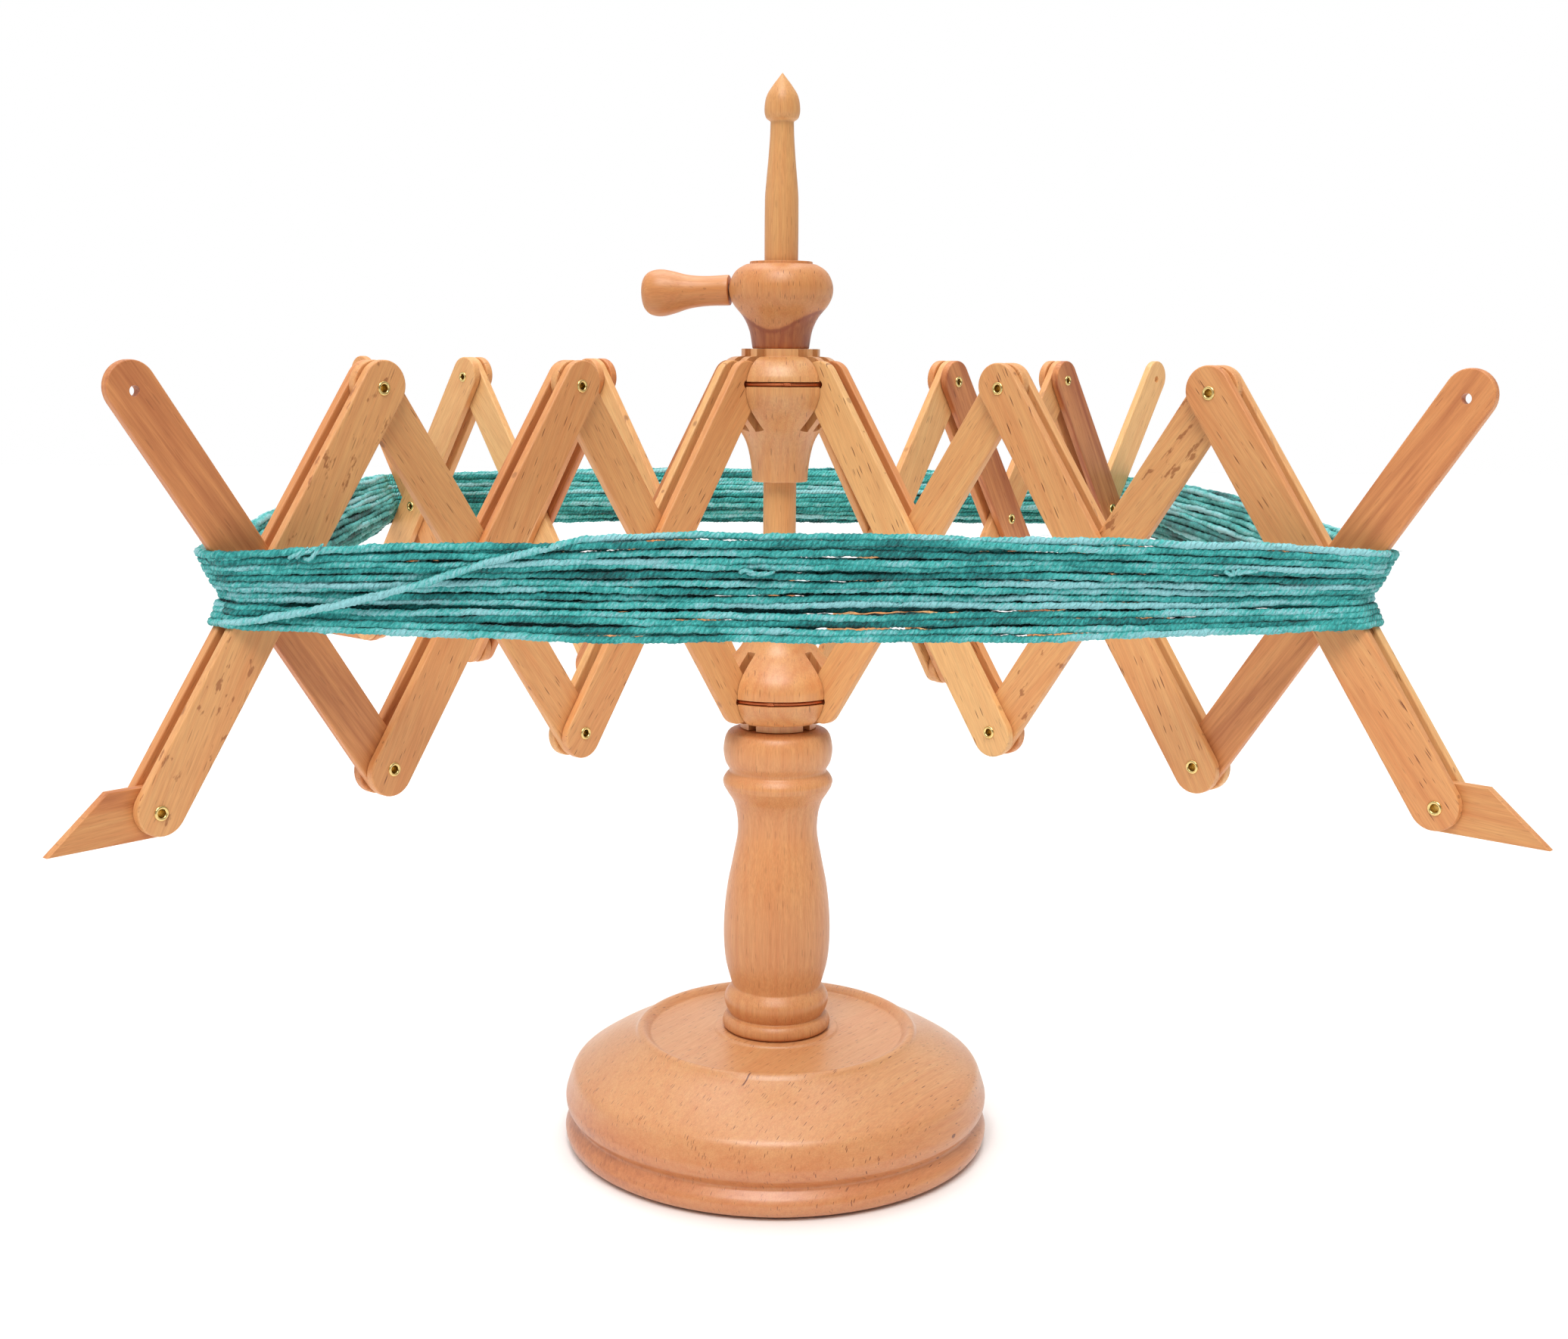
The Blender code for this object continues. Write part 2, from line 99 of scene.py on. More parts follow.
# Skein
YARN_R = 0.00154
HAIRS_PER_STRAND = 24
HAIR_R = 0.00006
OUTER_MESH = (0.00088, 8)  # between rings of a strand's mesh, and points in a ring
INNER_MESH = (0.00180, 6)
PLY_COUNT = 3
PLY_PITCH = 0.0066
LOBE_HEIGHT = 0.12  # of the plies, as a share of the strand's radius
YARN_RISE = 0.0035  # middle of the skein above the crossings, at the arms
YARN_HALF_AT_ARM = 0.0140  # of the strands' middles
YARN_HALF_AT_MIDDLE = {1: 0.0160, 2: 0.0180, 3: 0.0200, 4: 0.0180}
YARN_LIFT_AT_MIDDLE = {1: 0.0025, 2: 0.0010, 3: 0.0, 4: 0.0010}
YARN_FLAT = 0.0079  # straight stretch across each half of an arm's slats
YARN_BEND_R = 0.0070
INNER_TURNS = 12
OUTER_TURNS = 13
OUTER_LAYER = 0.0023  # how far the outer turns lie over the inner ones, at the arms
INNER_DEPTH = 0.0021  # how far the inner turns sink in between the arms
INNER_WIDER = 1.15
CROSSING_SHARE = 0.31  # where the slanting strand reaches the top edge of the front side
CROSSING_LIFT = 0.0030  # of the slanting strand over the others
# Irregular lie of a strand: wave lengths and heights
HEIGHT_WAVES = ((0.190, 0.00042), (0.095, 0.00030), (0.044, 0.00014))
BUMP_WAVES = ((0.015, 0.00012), (0.0085, 0.00009))
DEPTH_WAVES = ((0.160, 0.0004), (0.070, 0.0003))
THICKNESS_WAVES = ((0.031, 0.06), (0.011, 0.06), (0.0056, 0.05))  # shares of the radius
DYE_WAVES = ((0.330, 0.13), (0.140, 0.11), (0.052, 0.08), (0.021, 0.05))


# ---------------------------------------------------------------- shader helpers


class Nodes:
    """A node tree, with short calls for its nodes."""

    def __init__(self, tree):
        self.tree = tree

    def put(self, socket, value):
        """Links a socket to another, or sets its plain value."""
        if isinstance(value, bpy.types.NodeSocket):
            self.tree.links.new(value, socket)
        elif value is not None:
            socket.default_value = value

    def node(self, kind, *values, **settings):
        """A new node, with values or links for its first inputs."""
        made = self.tree.nodes.new(kind)
        for key, value in settings.items():
            setattr(made, key, value)
        for socket, value in zip(made.inputs, values):
            self.put(socket, value)
        return made

    def math(self, operation, a, b=None):
        return self.node("ShaderNodeMath", a, b, operation=operation).outputs[0]

    def plus(self, a, b):
        return self.math("ADD", a, b)

    def times(self, a, b):
        return self.math("MULTIPLY", a, b)

    def stretch(self, place, factors):
        """A place with its X, Y and Z multiplied by three numbers."""
        return self.node("ShaderNodeVectorMath", place, factors, operation="MULTIPLY").outputs["Vector"]

    def attribute(self, name, output="Fac"):
        return self.node("ShaderNodeAttribute", attribute_name=name).outputs[output]

    def noise(self, place, scale, detail=2.0, roughness=0.5):
        made = self.node("ShaderNodeTexNoise")
        for key, value in (("Vector", place), ("Scale", scale), ("Detail", detail), ("Roughness", roughness)):
            self.put(made.inputs[key], value)
        return made.outputs["Fac"]

    def fade(self, value, low, high, to_low=0.0, to_high=1.0):
        """Maps low..high to to_low..to_high, clamped."""
        return self.node("ShaderNodeMapRange", value, low, high, to_low, to_high).outputs[0]

    def ramp(self, value, stops):
        made = self.node("ShaderNodeValToRGB", value)
        elements = made.color_ramp.elements
        while len(elements) < len(stops):
            elements.new(0.5)
        for element, (place, colour) in zip(elements, stops):
            element.position = place
            element.color = (*colour, 1.0)
        return made.outputs["Color"]

    def mix(self, share, a, b, blend="MIX"):
        made = self.node("ShaderNodeMix", data_type="RGBA", blend_type=blend)
        self.put(made.inputs["Factor"], share)
        colours = [socket for socket in made.inputs if socket.type == "RGBA"]
        for socket, value in zip(colours, (a, b)):
            self.put(socket, (*value, 1.0) if isinstance(value, tuple) else value)
        return next(socket for socket in made.outputs if socket.type == "RGBA")


class Shader(Nodes):
    """A material with one Principled surface."""

    def __init__(self, name, roughness=0.5, metallic=0.0):
        self.material = bpy.data.materials.new(name)
        self.material.use_nodes = True
        super().__init__(self.material.node_tree)
        self.look("Roughness", roughness)
        self.look("Metallic", metallic)

    def look(self, name, value):
        """Gives the surface a property: a plain value or a link."""
        self.put(self.tree.nodes["Principled BSDF"].inputs[name], value)

    def bump(self, height, strength, distance):
        made = self.node("ShaderNodeBump")
        made.inputs["Strength"].default_value = strength
        made.inputs["Distance"].default_value = distance
        self.put(made.inputs["Height"], height)
        self.look("Normal", made.outputs["Normal"])


def linear(red, green, blue):
    """A display colour, 0 to 255, as linear light."""
    shares = [value / 255 for value in (red, green, blue)]
    return tuple(s / 12.92 if s <= 0.04045 else ((s + 0.055) / 1.055) ** 2.4 for s in shares)


# ---------------------------------------------------------------- materials

PALE = linear(221, 168, 106)
TAN = linear(214, 151, 92)
ORANGE = linear(204, 130, 74)
RED = linear(152, 74, 36)
FLECK = linear(112, 54, 25)
FLECK_LENGTH = 0.0092
FLECK_SPACING = 0.00090
FLECK_DEPTH = 0.0060
# Noise cells per metre along the grain and both ways across it
RING_WAVES = (6.0, 45.0, 45.0)
BROAD_STREAKS = (7.0, 60.0, 60.0)
FINE_STREAKS = (14.0, 420.0, 420.0)
FIBRES = (75.0, 1700.0, 1700.0)
STAINS = (90.0, 230.0, 230.0)
RING_CLOSENESS = 1300.0  # radians of ring per metre from the pith
RING_WANDER = 22.0  # radians


def beech(
    name, roughness=0.40, rings=1.0, fineness=1.0, tint=(1.0, 1.0, 1.0), polish=0.0, stains=0.0, pit=None
):
    """Beech: grain runs along X of "grain", "tone" runs from pale to red, and "fleck" says how marked it is.

    The tint makes a board's colours pinker, polish is a coat's weight, and stains are small brown patches.
    A pit is one long dark mark, given by its middle across and along the grain.
    """
    wood = Shader(name, roughness)
    grain = wood.attribute("grain", "Vector")
    tone = wood.attribute("tone")
    fleck = wood.attribute("fleck")
    parts = wood.node("ShaderNodeSeparateXYZ", grain)
    # Growth rings round a pith along X, wavy along the board
    radius = wood.math("SQRT", wood.plus(wood.math("POWER", parts.outputs[1], 2.0),
                                         wood.math("POWER", parts.outputs[2], 2.0)))
    waviness = wood.noise(wood.stretch(grain, RING_WAVES), 1.0, 3.0)
    ring = wood.times(radius, RING_CLOSENESS)
    ring = wood.plus(ring, wood.times(waviness, RING_WANDER))
    late_wood = wood.fade(wood.math("SINE", ring), 0.1, 1.0)
    # Broad streaks and fine fibres
    broad = wood.noise(wood.stretch(grain, BROAD_STREAKS), 1.0, 3.0)
    streak = wood.noise(wood.stretch(grain, FINE_STREAKS), 1.0, 2.0)
    fibre = wood.noise(wood.stretch(grain, FIBRES), 1.0, 2.0, 0.6)
    # Ray flecks: thin dark lenses, only some of the cells hold one
    cells = tuple(fineness / size for size in (FLECK_LENGTH, FLECK_SPACING, FLECK_DEPTH))
    lens = wood.node("ShaderNodeTexVoronoi", feature="F1")
    wood.put(lens.inputs["Vector"], wood.stretch(grain, cells))
    lens.inputs["Scale"].default_value = 1.0
    pick = wood.node("ShaderNodeSeparateColor", lens.outputs["Color"])
    size = wood.fade(pick.outputs[0], 0.20, 1.0, 0.0, 0.34)
    edge = wood.math("DIVIDE", lens.outputs["Distance"], wood.plus(size, 0.001))
    flecks = wood.fade(wood.math("SUBTRACT", 1.0, edge), 0.0, 0.35)
    flecks = wood.times(flecks, wood.fade(pick.outputs[1], 0.0, 1.0, 0.35, 1.0))
    if pit:
        across = wood.math("ABSOLUTE", wood.math("SUBTRACT", parts.outputs[1], pit[0]))
        along = wood.math("ABSOLUTE", wood.math("SUBTRACT", parts.outputs[0], pit[1]))
        across, along = wood.fade(across, 0.00025, 0.0005, 1.0, 0.0), wood.fade(along, 0.0030, 0.0042, 1.0, 0.0)
        mark = wood.times(across, along)
        flecks = wood.math("MAXIMUM", flecks, mark)
    # Colour
    patchy = 0.20 * min(1.0, rings)
    shade = wood.plus(tone, wood.fade(broad, 0.3, 0.7, -patchy, patchy))
    shade = wood.plus(shade, wood.fade(streak, 0.3, 0.7, -0.09, 0.09))
    shade = wood.plus(shade, wood.times(late_wood, 0.12 * rings))
    colour = wood.ramp(shade, [(0.0, PALE), (0.33, TAN), (0.66, ORANGE), (1.0, RED)])
    colour = wood.mix(1.0, colour, tint, "MULTIPLY")
    colour = wood.mix(wood.fade(fibre, 0.35, 0.75, 0.0, 0.30), colour, linear(150, 88, 52))
    if stains:
        patches = wood.noise(wood.stretch(grain, STAINS), 1.0, 3.0, 0.6)
        colour = wood.mix(wood.fade(patches, 0.62, 0.67, 0.0, stains), colour, linear(150, 84, 40))
    colour = wood.mix(wood.times(flecks, fleck), colour, FLECK)
    wood.look("Base Color", colour)
    wood.look("Roughness", wood.fade(fibre, 0.2, 0.8, roughness - 0.06, roughness + 0.12))
    wood.look("Coat Weight", polish)
    wood.look("Coat Roughness", 0.32)
    height = wood.math("SUBTRACT", wood.times(fibre, 0.5), wood.times(flecks, 0.5))
    wood.bump(height, 0.18, 0.0003)
    return wood.material


def metal(name, colour, roughness):
    """Metal with slight uneven polish."""
    made = Shader(name, roughness, 1.0)
    place = made.node("ShaderNodeTexCoord").outputs["Object"]
    cloud = made.noise(place, 400.0, 3.0)
    darker = tuple(0.6 * c for c in colour)
    made.look("Base Color", made.mix(made.fade(cloud, 0.4, 0.8, 0.0, 0.5), colour, darker))
    made.look("Roughness", made.fade(cloud, 0.3, 0.7, roughness - 0.07, roughness + 0.12))
    made.bump(cloud, 0.15, 0.0002)
    return made.material


def yarn_material():
    """Twisted yarn: dye varies along each strand, plies and fine fibres wind round it. Its dye attribute
    carries painted shade between strands, and the grooves between plies get painted shade.
    """
    yarn = Shader("yarn", 0.85)
    # The dye attribute holds the dye with painted shade between strands taken off
    dye = yarn.attribute("dye")
    place = yarn.node("ShaderNodeTexCoord").outputs["Object"]
    strand = yarn.node("ShaderNodeUVMap", uv_map="strand").outputs["UV"]
    parts = yarn.node("ShaderNodeSeparateXYZ", strand)
    mottle = yarn.noise(place, 450.0, 3.0, 0.6)
    along = yarn.times(parts.outputs[0], PLY_COUNT / PLY_PITCH)
    wind = yarn.math("SUBTRACT", along, yarn.times(parts.outputs[1], PLY_COUNT))
    wind = yarn.plus(wind, yarn.times(mottle, 1.1))
    ply = yarn.math("SINE", yarn.times(wind, math.tau))
    lie = yarn.node("ShaderNodeCombineXYZ", yarn.times(wind, 4.0), yarn.times(parts.outputs[0], 150.0))
    fibre = yarn.noise(lie.outputs[0], 1.0, 2.0, 0.6)
    shade = yarn.plus(dye, yarn.fade(mottle, 0.3, 0.7, -0.14, 0.14))
    # Painted shade: the grooves between the plies are darker
    shade = yarn.plus(shade, yarn.times(ply, 0.06))
    shade = yarn.plus(shade, yarn.fade(fibre, 0.25, 0.75, -0.15, 0.15))
    stops = [
        (0.0, linear(4, 46, 50)),
        (0.25, linear(14, 94, 94)),
        (0.50, linear(36, 146, 144)),
        (0.75, linear(76, 190, 186)),
        (1.0, linear(150, 214, 220)),
    ]
    yarn.look("Base Color", yarn.ramp(shade, stops))
    yarn.look("Sheen Weight", 0.15)
    yarn.look("Sheen Roughness", 0.6)
    yarn.look("Specular IOR Level", 0.2)
    yarn.bump(yarn.plus(ply, yarn.times(fibre, 2.0)), 0.7, 0.0005)
    return yarn.material


BASE_BEECH = beech(
    "base_beech", 0.42, rings=0.4, fineness=1.3, tint=(0.98, 0.97, 1.12), polish=0.6, pit=(-0.0117, 0.2788)
)
COLUMN_BEECH = beech("column_beech", 0.40, rings=0.4, tint=(1.04, 1.06, 1.18), polish=0.15)
SHAFT_BEECH = beech("shaft_beech", 0.40, rings=0.6)
HUB_BEECH = beech("hub_beech", 0.40, rings=0.8, tint=(1.05, 1.10, 1.20), polish=0.3)
COLLAR_BEECH = beech("collar_beech", 0.40, rings=0.3, fineness=1.5, polish=0.1)
SLAT_WOOD = {"roughness": 0.45, "rings": 0.6, "fineness": 0.8, "tint": (1.13, 1.22, 1.33)}
SLAT_BEECH = beech("slat_beech", **SLAT_WOOD)
STAINED_BEECH = beech("stained_beech", **SLAT_WOOD, stains=0.75)
STOP_BEECH = beech("stop_beech", 0.45)
BRASS = metal("brass", linear(236, 208, 140), 0.27)
COPPER = metal("copper", linear(196, 112, 72), 0.30)
STEEL = metal("steel", linear(104, 102, 100), 0.40)
YARN = yarn_material()


# ---------------------------------------------------------------- mesh helpers


def new_mesh(name, points, faces):
    mesh = bpy.data.meshes.new(name)
    mesh.from_pydata(points, [], faces)
    return mesh


def new_object(name, data):
    made = bpy.data.objects.new(name, data)
    bpy.context.scene.collection.objects.link(made)
    return made


def add_piece(name, points, faces, material, body, slot_name, replaces, world):
    """A mesh piece that rides on a body and stands for some CAD nodes. Its slot name is not used."""
    mesh = new_mesh(name, [tuple(point) for point in points], faces)
    mesh.validate()
    mesh.materials.append(material)
    made = new_object(name, mesh)
    made.matrix_world = world
    mesh.shade_smooth()
    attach(made, body)
    if replaces:
        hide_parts(*replaces)
    return made


def store_numbers(mesh, name, values):
    """Stores one number for each point, for a material to read."""
    layer = mesh.attributes.new(name, "FLOAT", "POINT")
    layer.data.foreach_set("value", np.array(values, np.float32))


def mark_wood(piece, turn, offset, tone, fleck=1.0):
    """Stores where each point lies in the board it was cut from, the board's tone and its share of flecks.

    The tone is a number, or a function of the point that gives one.
    """
    mesh = piece.data
    points = [vertex.co.copy() for vertex in mesh.vertices]
    grain = mesh.attributes.new("grain", "FLOAT_VECTOR", "POINT")
    places = [turn @ point + Vector(offset) for point in points]
    grain.data.foreach_set("vector", np.array(places, np.float32).ravel())
    store_numbers(mesh, "tone", [tone(point) if callable(tone) else tone for point in points])
    store_numbers(mesh, "fleck", [fleck] * len(points))


def flatten_shading(piece):
    """Keeps flat faces flat beside rounded edges."""
    piece.data.set_sharp_from_angle(angle=math.radians(50))
    weighted = piece.modifiers.new("flat_faces", "WEIGHTED_NORMAL")
    weighted.keep_sharp = True


def soft_corner(before, corner, after, cut):
    """Three points that round a corner of a profile."""
    corner = Vector(corner)
    ways = [Vector(p) - corner for p in (before, after)]
    start, end = (corner + way.normalized() * min(cut, way.length / 3) for way in ways)
    return [start, (start + 2 * corner + end) / 4, end]


def smooth_profile(points, steps=6, cut=0.0005):
    """A turned profile, in metres, through (radius, height) points. A third value marks a crisp corner."""
    flat = [Vector((p[0] / 1000, p[1] / 1000)) for p in points]
    crisp = [len(p) > 2 or i in (0, len(points) - 1) for i, p in enumerate(points)]
    made = []
    for i, point in enumerate(flat):
        if crisp[i] and 0 < i < len(flat) - 1:
            made += soft_corner(flat[i - 1], point, flat[i + 1], cut)
        else:
            made.append(point)
        if i == len(flat) - 1 or (crisp[i] and crisp[i + 1]):
            continue
        start = made[-1]
        following = flat[i + 1]
        if crisp[i + 1] and i + 2 < len(flat):
            following = soft_corner(point, flat[i + 1], flat[i + 2], cut)[0]
        before = start if crisp[i] else flat[i - 1]
        beyond = following if crisp[i + 1] else flat[i + 2]
        length = (following - start).length
        leave = (following - before).normalized() * length if not crisp[i] else following - start
        arrive = (beyond - start).normalized() * length if not crisp[i + 1] else following - start
        for k in range(1, steps):
            t = k / steps
            made.append(
                (2 * t**3 - 3 * t**2 + 1) * start
                + (t**3 - 2 * t**2 + t) * leave
                + (3 * t**2 - 2 * t**3) * following
                + (t**3 - t**2) * arrive
            )
    return [(p.x, p.y) for p in made]


def lathe(profile, steps, closed):
    """Points and outward faces of a profile that runs down its outer side. Ends at radius 0 are poles."""
    points, faces, rings = [], [], []
    for radius, height in profile:
        if radius < 1e-7:
            rings.append([len(points)] * steps)
            points.append((0.0, 0.0, height))
        else:
            rings.append(list(range(len(points), len(points) + steps)))
            for k in range(steps):
                a = math.tau * k / steps
                points.append((radius * math.cos(a), radius * math.sin(a), height))
    pairs = list(zip(rings, rings[1:]))
    if closed:
        pairs.append((rings[-1], rings[0]))
    for upper, lower in pairs:
        for k in range(steps):
            j = (k + 1) % steps
            corners = [upper[k], lower[k], lower[j], upper[j]]
            face = [c for i, c in enumerate(corners) if c != corners[i - 1]]
            if len(face) > 2:
                faces.append(face)
    return points, faces


def board(outline, holes, thickness, edge_round):
    """A flat board: its outline, anticlockwise, with rounded edges, and round holes (x, radius)."""
    half = thickness / 2
    count = len(outline)
    flat = [Vector(p) for p in outline]
    inwards = []
    for i, point in enumerate(flat):
        before, after = (point - flat[i - 1]).normalized(), (flat[(i + 1) % count] - point).normalized()
        middle = (before + after).normalized()
        inwards.append(Vector((-middle.y, middle.x)) / max(0.3, middle.dot(before)))
    turns = [math.radians(a) for a in (0, 30, 60, 90)]
    edge = [(edge_round * (1 - math.sin(a)), edge_round * (1 - math.cos(a)) - half) for a in turns]
    edge += [(inset, -height) for inset, height in reversed(edge)]
    points, faces = [], []
    for inset, height in edge:
        points += [(*(point + inwards[i] * inset), height) for i, point in enumerate(flat)]
    for level in range(len(edge) - 1):
        low, high = level * count, (level + 1) * count
        faces += [(low + i, low + (i + 1) % count, high + (i + 1) % count, high + i) for i in range(count)]
    caps = {-1: [list(range(count))], 1: [list(range((len(edge) - 1) * count, len(edge) * count))]}
    sides = 20
    for x, radius in holes:
        rims = []
        for height in (-half, half):
            rims.append(list(range(len(points), len(points) + sides)))
            for k in range(sides):
                a = math.tau * k / sides
                points.append((x + radius * math.cos(a), radius * math.sin(a), height))
        low, high = rims
        faces += [(low[k - 1], high[k - 1], high[k], low[k]) for k in range(sides)]
        caps[-1].append(low)
        caps[1].append(high)
    for side, loops in caps.items():
        order = [index for loop in loops for index in loop]
        for corners in tessellate_polygon([[Vector(points[i]) for i in loop] for loop in loops]):
            a, b, c = (order[k] for k in corners)
            normal = (Vector(points[b]) - Vector(points[a])).cross(Vector(points[c]) - Vector(points[a]))
            faces.append((a, b, c) if normal.z * side > 0 else (a, c, b))
    return points, faces


def arc(centre_x, radius, start, end, steps):
    """Points on an arc round (centre_x, 0), between two angles in degrees."""
    angles = [math.radians(start + (end - start) * i / steps) for i in range(steps + 1)]
    return [(centre_x + radius * math.cos(a), radius * math.sin(a)) for a in angles]


def frame_matrix(origin, x_axis, z_axis):
    """A world matrix from its origin, X axis and Z axis."""
    x_axis, z_axis = Vector(x_axis).normalized(), Vector(z_axis).normalized()
    turn = Matrix((x_axis, z_axis.cross(x_axis), z_axis)).transposed().to_4x4()
    return Matrix.Translation(Vector(origin)) @ turn


# ---------------------------------------------------------------- camera, lights and stage


CAMERA_PLACE = (0.0, -1.00945, 0.43147)
CAMERA_DOWN = math.radians(9.505)
CAMERA_ROLL = 0.006827
CAMERA_LENS = 43.576  # mm, on a sensor 36 mm wide
CAMERA_SHIFT = 0.0035
AIM = (0.0, 0.0, 0.30)  # of the lights
BRIGHT_SIDE = (-0.22, 0.80, 0.56)
WHITE = (1.0, 1.0, 1.0, 1.0)
FLOOR_HALF = 6.0


def make_camera():
    """In front and a little above, at the viewing angle of a product picture."""
    data = bpy.data.cameras.new("camera")
    data.sensor_width = 36.0
    data.lens = CAMERA_LENS
    data.shift_x = CAMERA_SHIFT
    data.dof.use_dof = False
    made = new_object("camera", data)
    turn = Matrix.Rotation(math.pi / 2 - CAMERA_DOWN, 4, "X") @ Matrix.Rotation(CAMERA_ROLL, 4, "Z")
    made.matrix_world = Matrix.Translation(CAMERA_PLACE) @ turn
    bpy.context.scene.camera = made


def add_light(kind, name, place, power, colour=(1.0, 1.0, 1.0), **settings):
    """A light that points at the middle of the swift."""
    data = bpy.data.lights.new(name, kind)
    data.energy = power
    data.color = colour
    for key, value in settings.items():
        setattr(data, key, value)
    made = new_object(name, data)
    made.location = place
    towards = Vector(AIM) - Vector(place)
    made.rotation_euler = towards.to_track_quat("-Z", "Y").to_euler()


def make_stage():
    """A white studio: world light, three lights and a pale floor."""
    bpy.context.scene.view_settings.view_transform = "Standard"
    world = bpy.data.worlds.new("studio")
    bpy.context.scene.world = world
    world.use_nodes = True
    sky = Nodes(world.node_tree)
    # Lighter behind, above and a little to the left; the backdrop itself is plain white
    glow = sky.tree.nodes["Background"]
    glow.inputs["Color"].default_value = WHITE
    way = sky.node("ShaderNodeTexCoord").outputs["Generated"]
    facing = sky.node("ShaderNodeVectorMath", way, BRIGHT_SIDE, operation="DOT_PRODUCT")
    sky.put(glow.inputs["Strength"], sky.fade(facing.outputs["Value"], -0.6, 1.0, 0.14, 0.85))
    backdrop = sky.node("ShaderNodeBackground", WHITE)
    shown = sky.node("ShaderNodeLightPath").outputs["Is Camera Ray"]
    mix = sky.node("ShaderNodeMixShader", shown, glow.outputs[0], backdrop.outputs[0])
    sky.put(sky.tree.nodes["World Output"].inputs["Surface"], mix.outputs[0])
    add_light("SUN", "key", (-0.15, -1.4, 2.4), 2.45, (1.0, 0.975, 0.95), angle=math.radians(34))
    add_light("AREA", "top", (-0.1, 0.5, 2.0), 14.0, shape="SQUARE", size=1.2)
    add_light("AREA", "side", (-1.9, -0.5, 0.9), 1.5, (0.93, 0.97, 1.0), shape="SQUARE", size=0.7)
    floor = Shader("floor", 0.7)
    cloud = floor.noise(floor.node("ShaderNodeTexCoord").outputs["Object"], 3.0)
    floor.look("Base Color", floor.mix(cloud, (0.96, 0.96, 0.96), (0.94, 0.94, 0.94)))
    corners = [(x * FLOOR_HALF, y * FLOOR_HALF, 0) for x, y in ((-1, -1), (1, -1), (1, 1), (-1, 1))]
    mesh = new_mesh("floor", corners, [(0, 1, 2, 3)])
    mesh.materials.append(floor.material)
    made = new_object("floor", mesh)
    made.location.z = -0.0002  # just under the base's foot


# ---------------------------------------------------------------- turned pieces

FLAT_GRAIN = Matrix.Rotation(math.radians(-55), 3, "Z")
UPRIGHT_GRAIN = Matrix(((0, 0, 1), (1, 0, 0), (0, 1, 0)))
WIRE_R = 0.0008
JOIN_WIRE_R = 0.00045
JOIN_ARC = 0.10  # radians of the ring that the wire's twisted join takes up
JOIN_TURNS = 3
JOIN_STEPS = 30
CRISP = "crisp"

# Turned profiles: radius and height in millimetres, round the piece's own axis
BASE_PROFILE = [
    (12.3, 61.9, CRISP), (33.6, 61.9, CRISP), (34.6, 60.8, CRISP), (50, 59.6), (64, 59.1),
    (69.5, 59.2, CRISP), (71.2, 60.9), (73.8, 62.6), (76.2, 62.2), (78.2, 60, CRISP), (80.6, 58.4),
    (85, 56), (96, 50.6), (106, 44.6), (110.8, 41.2), (112.7, 38.6), (114.2, 34.5), (115.7, 29.8),
    (116.5, 26.2), (115.7, 21.5), (113.2, 18.4), (112.2, 16.3), (113.6, 14), (115.8, 11.3), (116.9, 8),
    (115.2, 3.2), (110, 0, CRISP), (6.5, 0, CRISP), (6.5, 4.6, CRISP), (2.7, 4.6, CRISP),
    (2.7, 36.7, CRISP), (12.3, 36.7, CRISP), (12.3, 61.9, CRISP),
]

COLUMN_PROFILE = [
    (0, 188, CRISP), (9, 188, CRISP), (9, 231, CRISP), (21.8, 231, CRISP), (27.2, 228.4), (29.5, 220.5),
    (28.7, 213), (26.4, 208.5, CRISP), (26.4, 207.2, CRISP), (28.6, 204.6), (29.8, 201.8),
    (29.3, 199, CRISP), (26.8, 194.8), (24.3, 190.8), (22.3, 183.8), (21.7, 173.2), (24.1, 159.1),
    (27.5, 141), (29.2, 120), (28.2, 101.5), (24.4, 86.2, CRISP), (26.6, 83.8), (28.4, 80.6), (28.6, 77),
    (27.2, 73), (25.8, 70.6, CRISP), (28, 69.3), (29.4, 66.8), (29.5, 63.8), (28, 62.2, CRISP),
    (12, 62.2, CRISP), (12, 37, CRISP), (0, 37, CRISP),
]

SHAFT_PROFILE = [
    (0, 572.6), (1.8, 570.3), (4.9, 566.3), (8.1, 561), (9.2, 554.6), (8.4, 550.2), (6, 548.2, CRISP),
    (6.3, 540), (7.1, 529), (8, 519), (8.7, 509), (8.7, 460), (8.7, 188.5, CRISP), (0, 188.5, CRISP),
]

HUB_PROFILE = [
    (9.3, 18, CRISP), (20.6, 18, CRISP), (20.6, 14.2, CRISP), (26.2, 13.4), (31, 9.5), (33.8, 4.5),
    (34.7, 1.3, CRISP), (31.9, 1.3, CRISP), (31.9, -1.3, CRISP), (34.9, -1.3, CRISP), (34.6, -6),
    (32.2, -12), (26.6, -19), (21.4, -24.5), (18.2, -30), (16.2, -37), (15, -45), (14.6, -51.2, CRISP),
    (9.3, -51.2, CRISP), (9.3, 18, CRISP),
]

COLLAR_PROFILE = [
    (9.3, 44.5, CRISP), (16.4, 44.5, CRISP), (16.4, 43, CRISP), (18.5, 42.9), (23.8, 39.4), (26.8, 33.5),
    (27, 27.8), (24.9, 22.6), (19.4, 15.6), (16.4, 8.8), (14.8, -0.25, CRISP), (9.3, -0.25, CRISP),
    (9.3, 44.5, CRISP),
]

HANDLE_PROFILE = [
    (0, 46.2), (5, 46), (8.5, 45), (11.2, 42), (12.2, 36.4), (11, 29.7), (8.8, 21.7), (7.8, 12.2),
    (7.9, -0.5, CRISP), (3.3, -0.5, CRISP), (3.3, 14.1, CRISP), (0, 14.1, CRISP),
]

SCREW_PROFILE = [
    (0, 52, CRISP), (2.4, 46, CRISP), (2.4, 4.1, CRISP), (4.6, 4.1, CRISP), (5.2, 2.6), (4.4, 1.4),
    (0, 1.2, CRISP),
]
STUD_PROFILE = [(0, 41.3, CRISP), (3, 41.3, CRISP), (3, 9.1, CRISP), (0, 9.1, CRISP)]


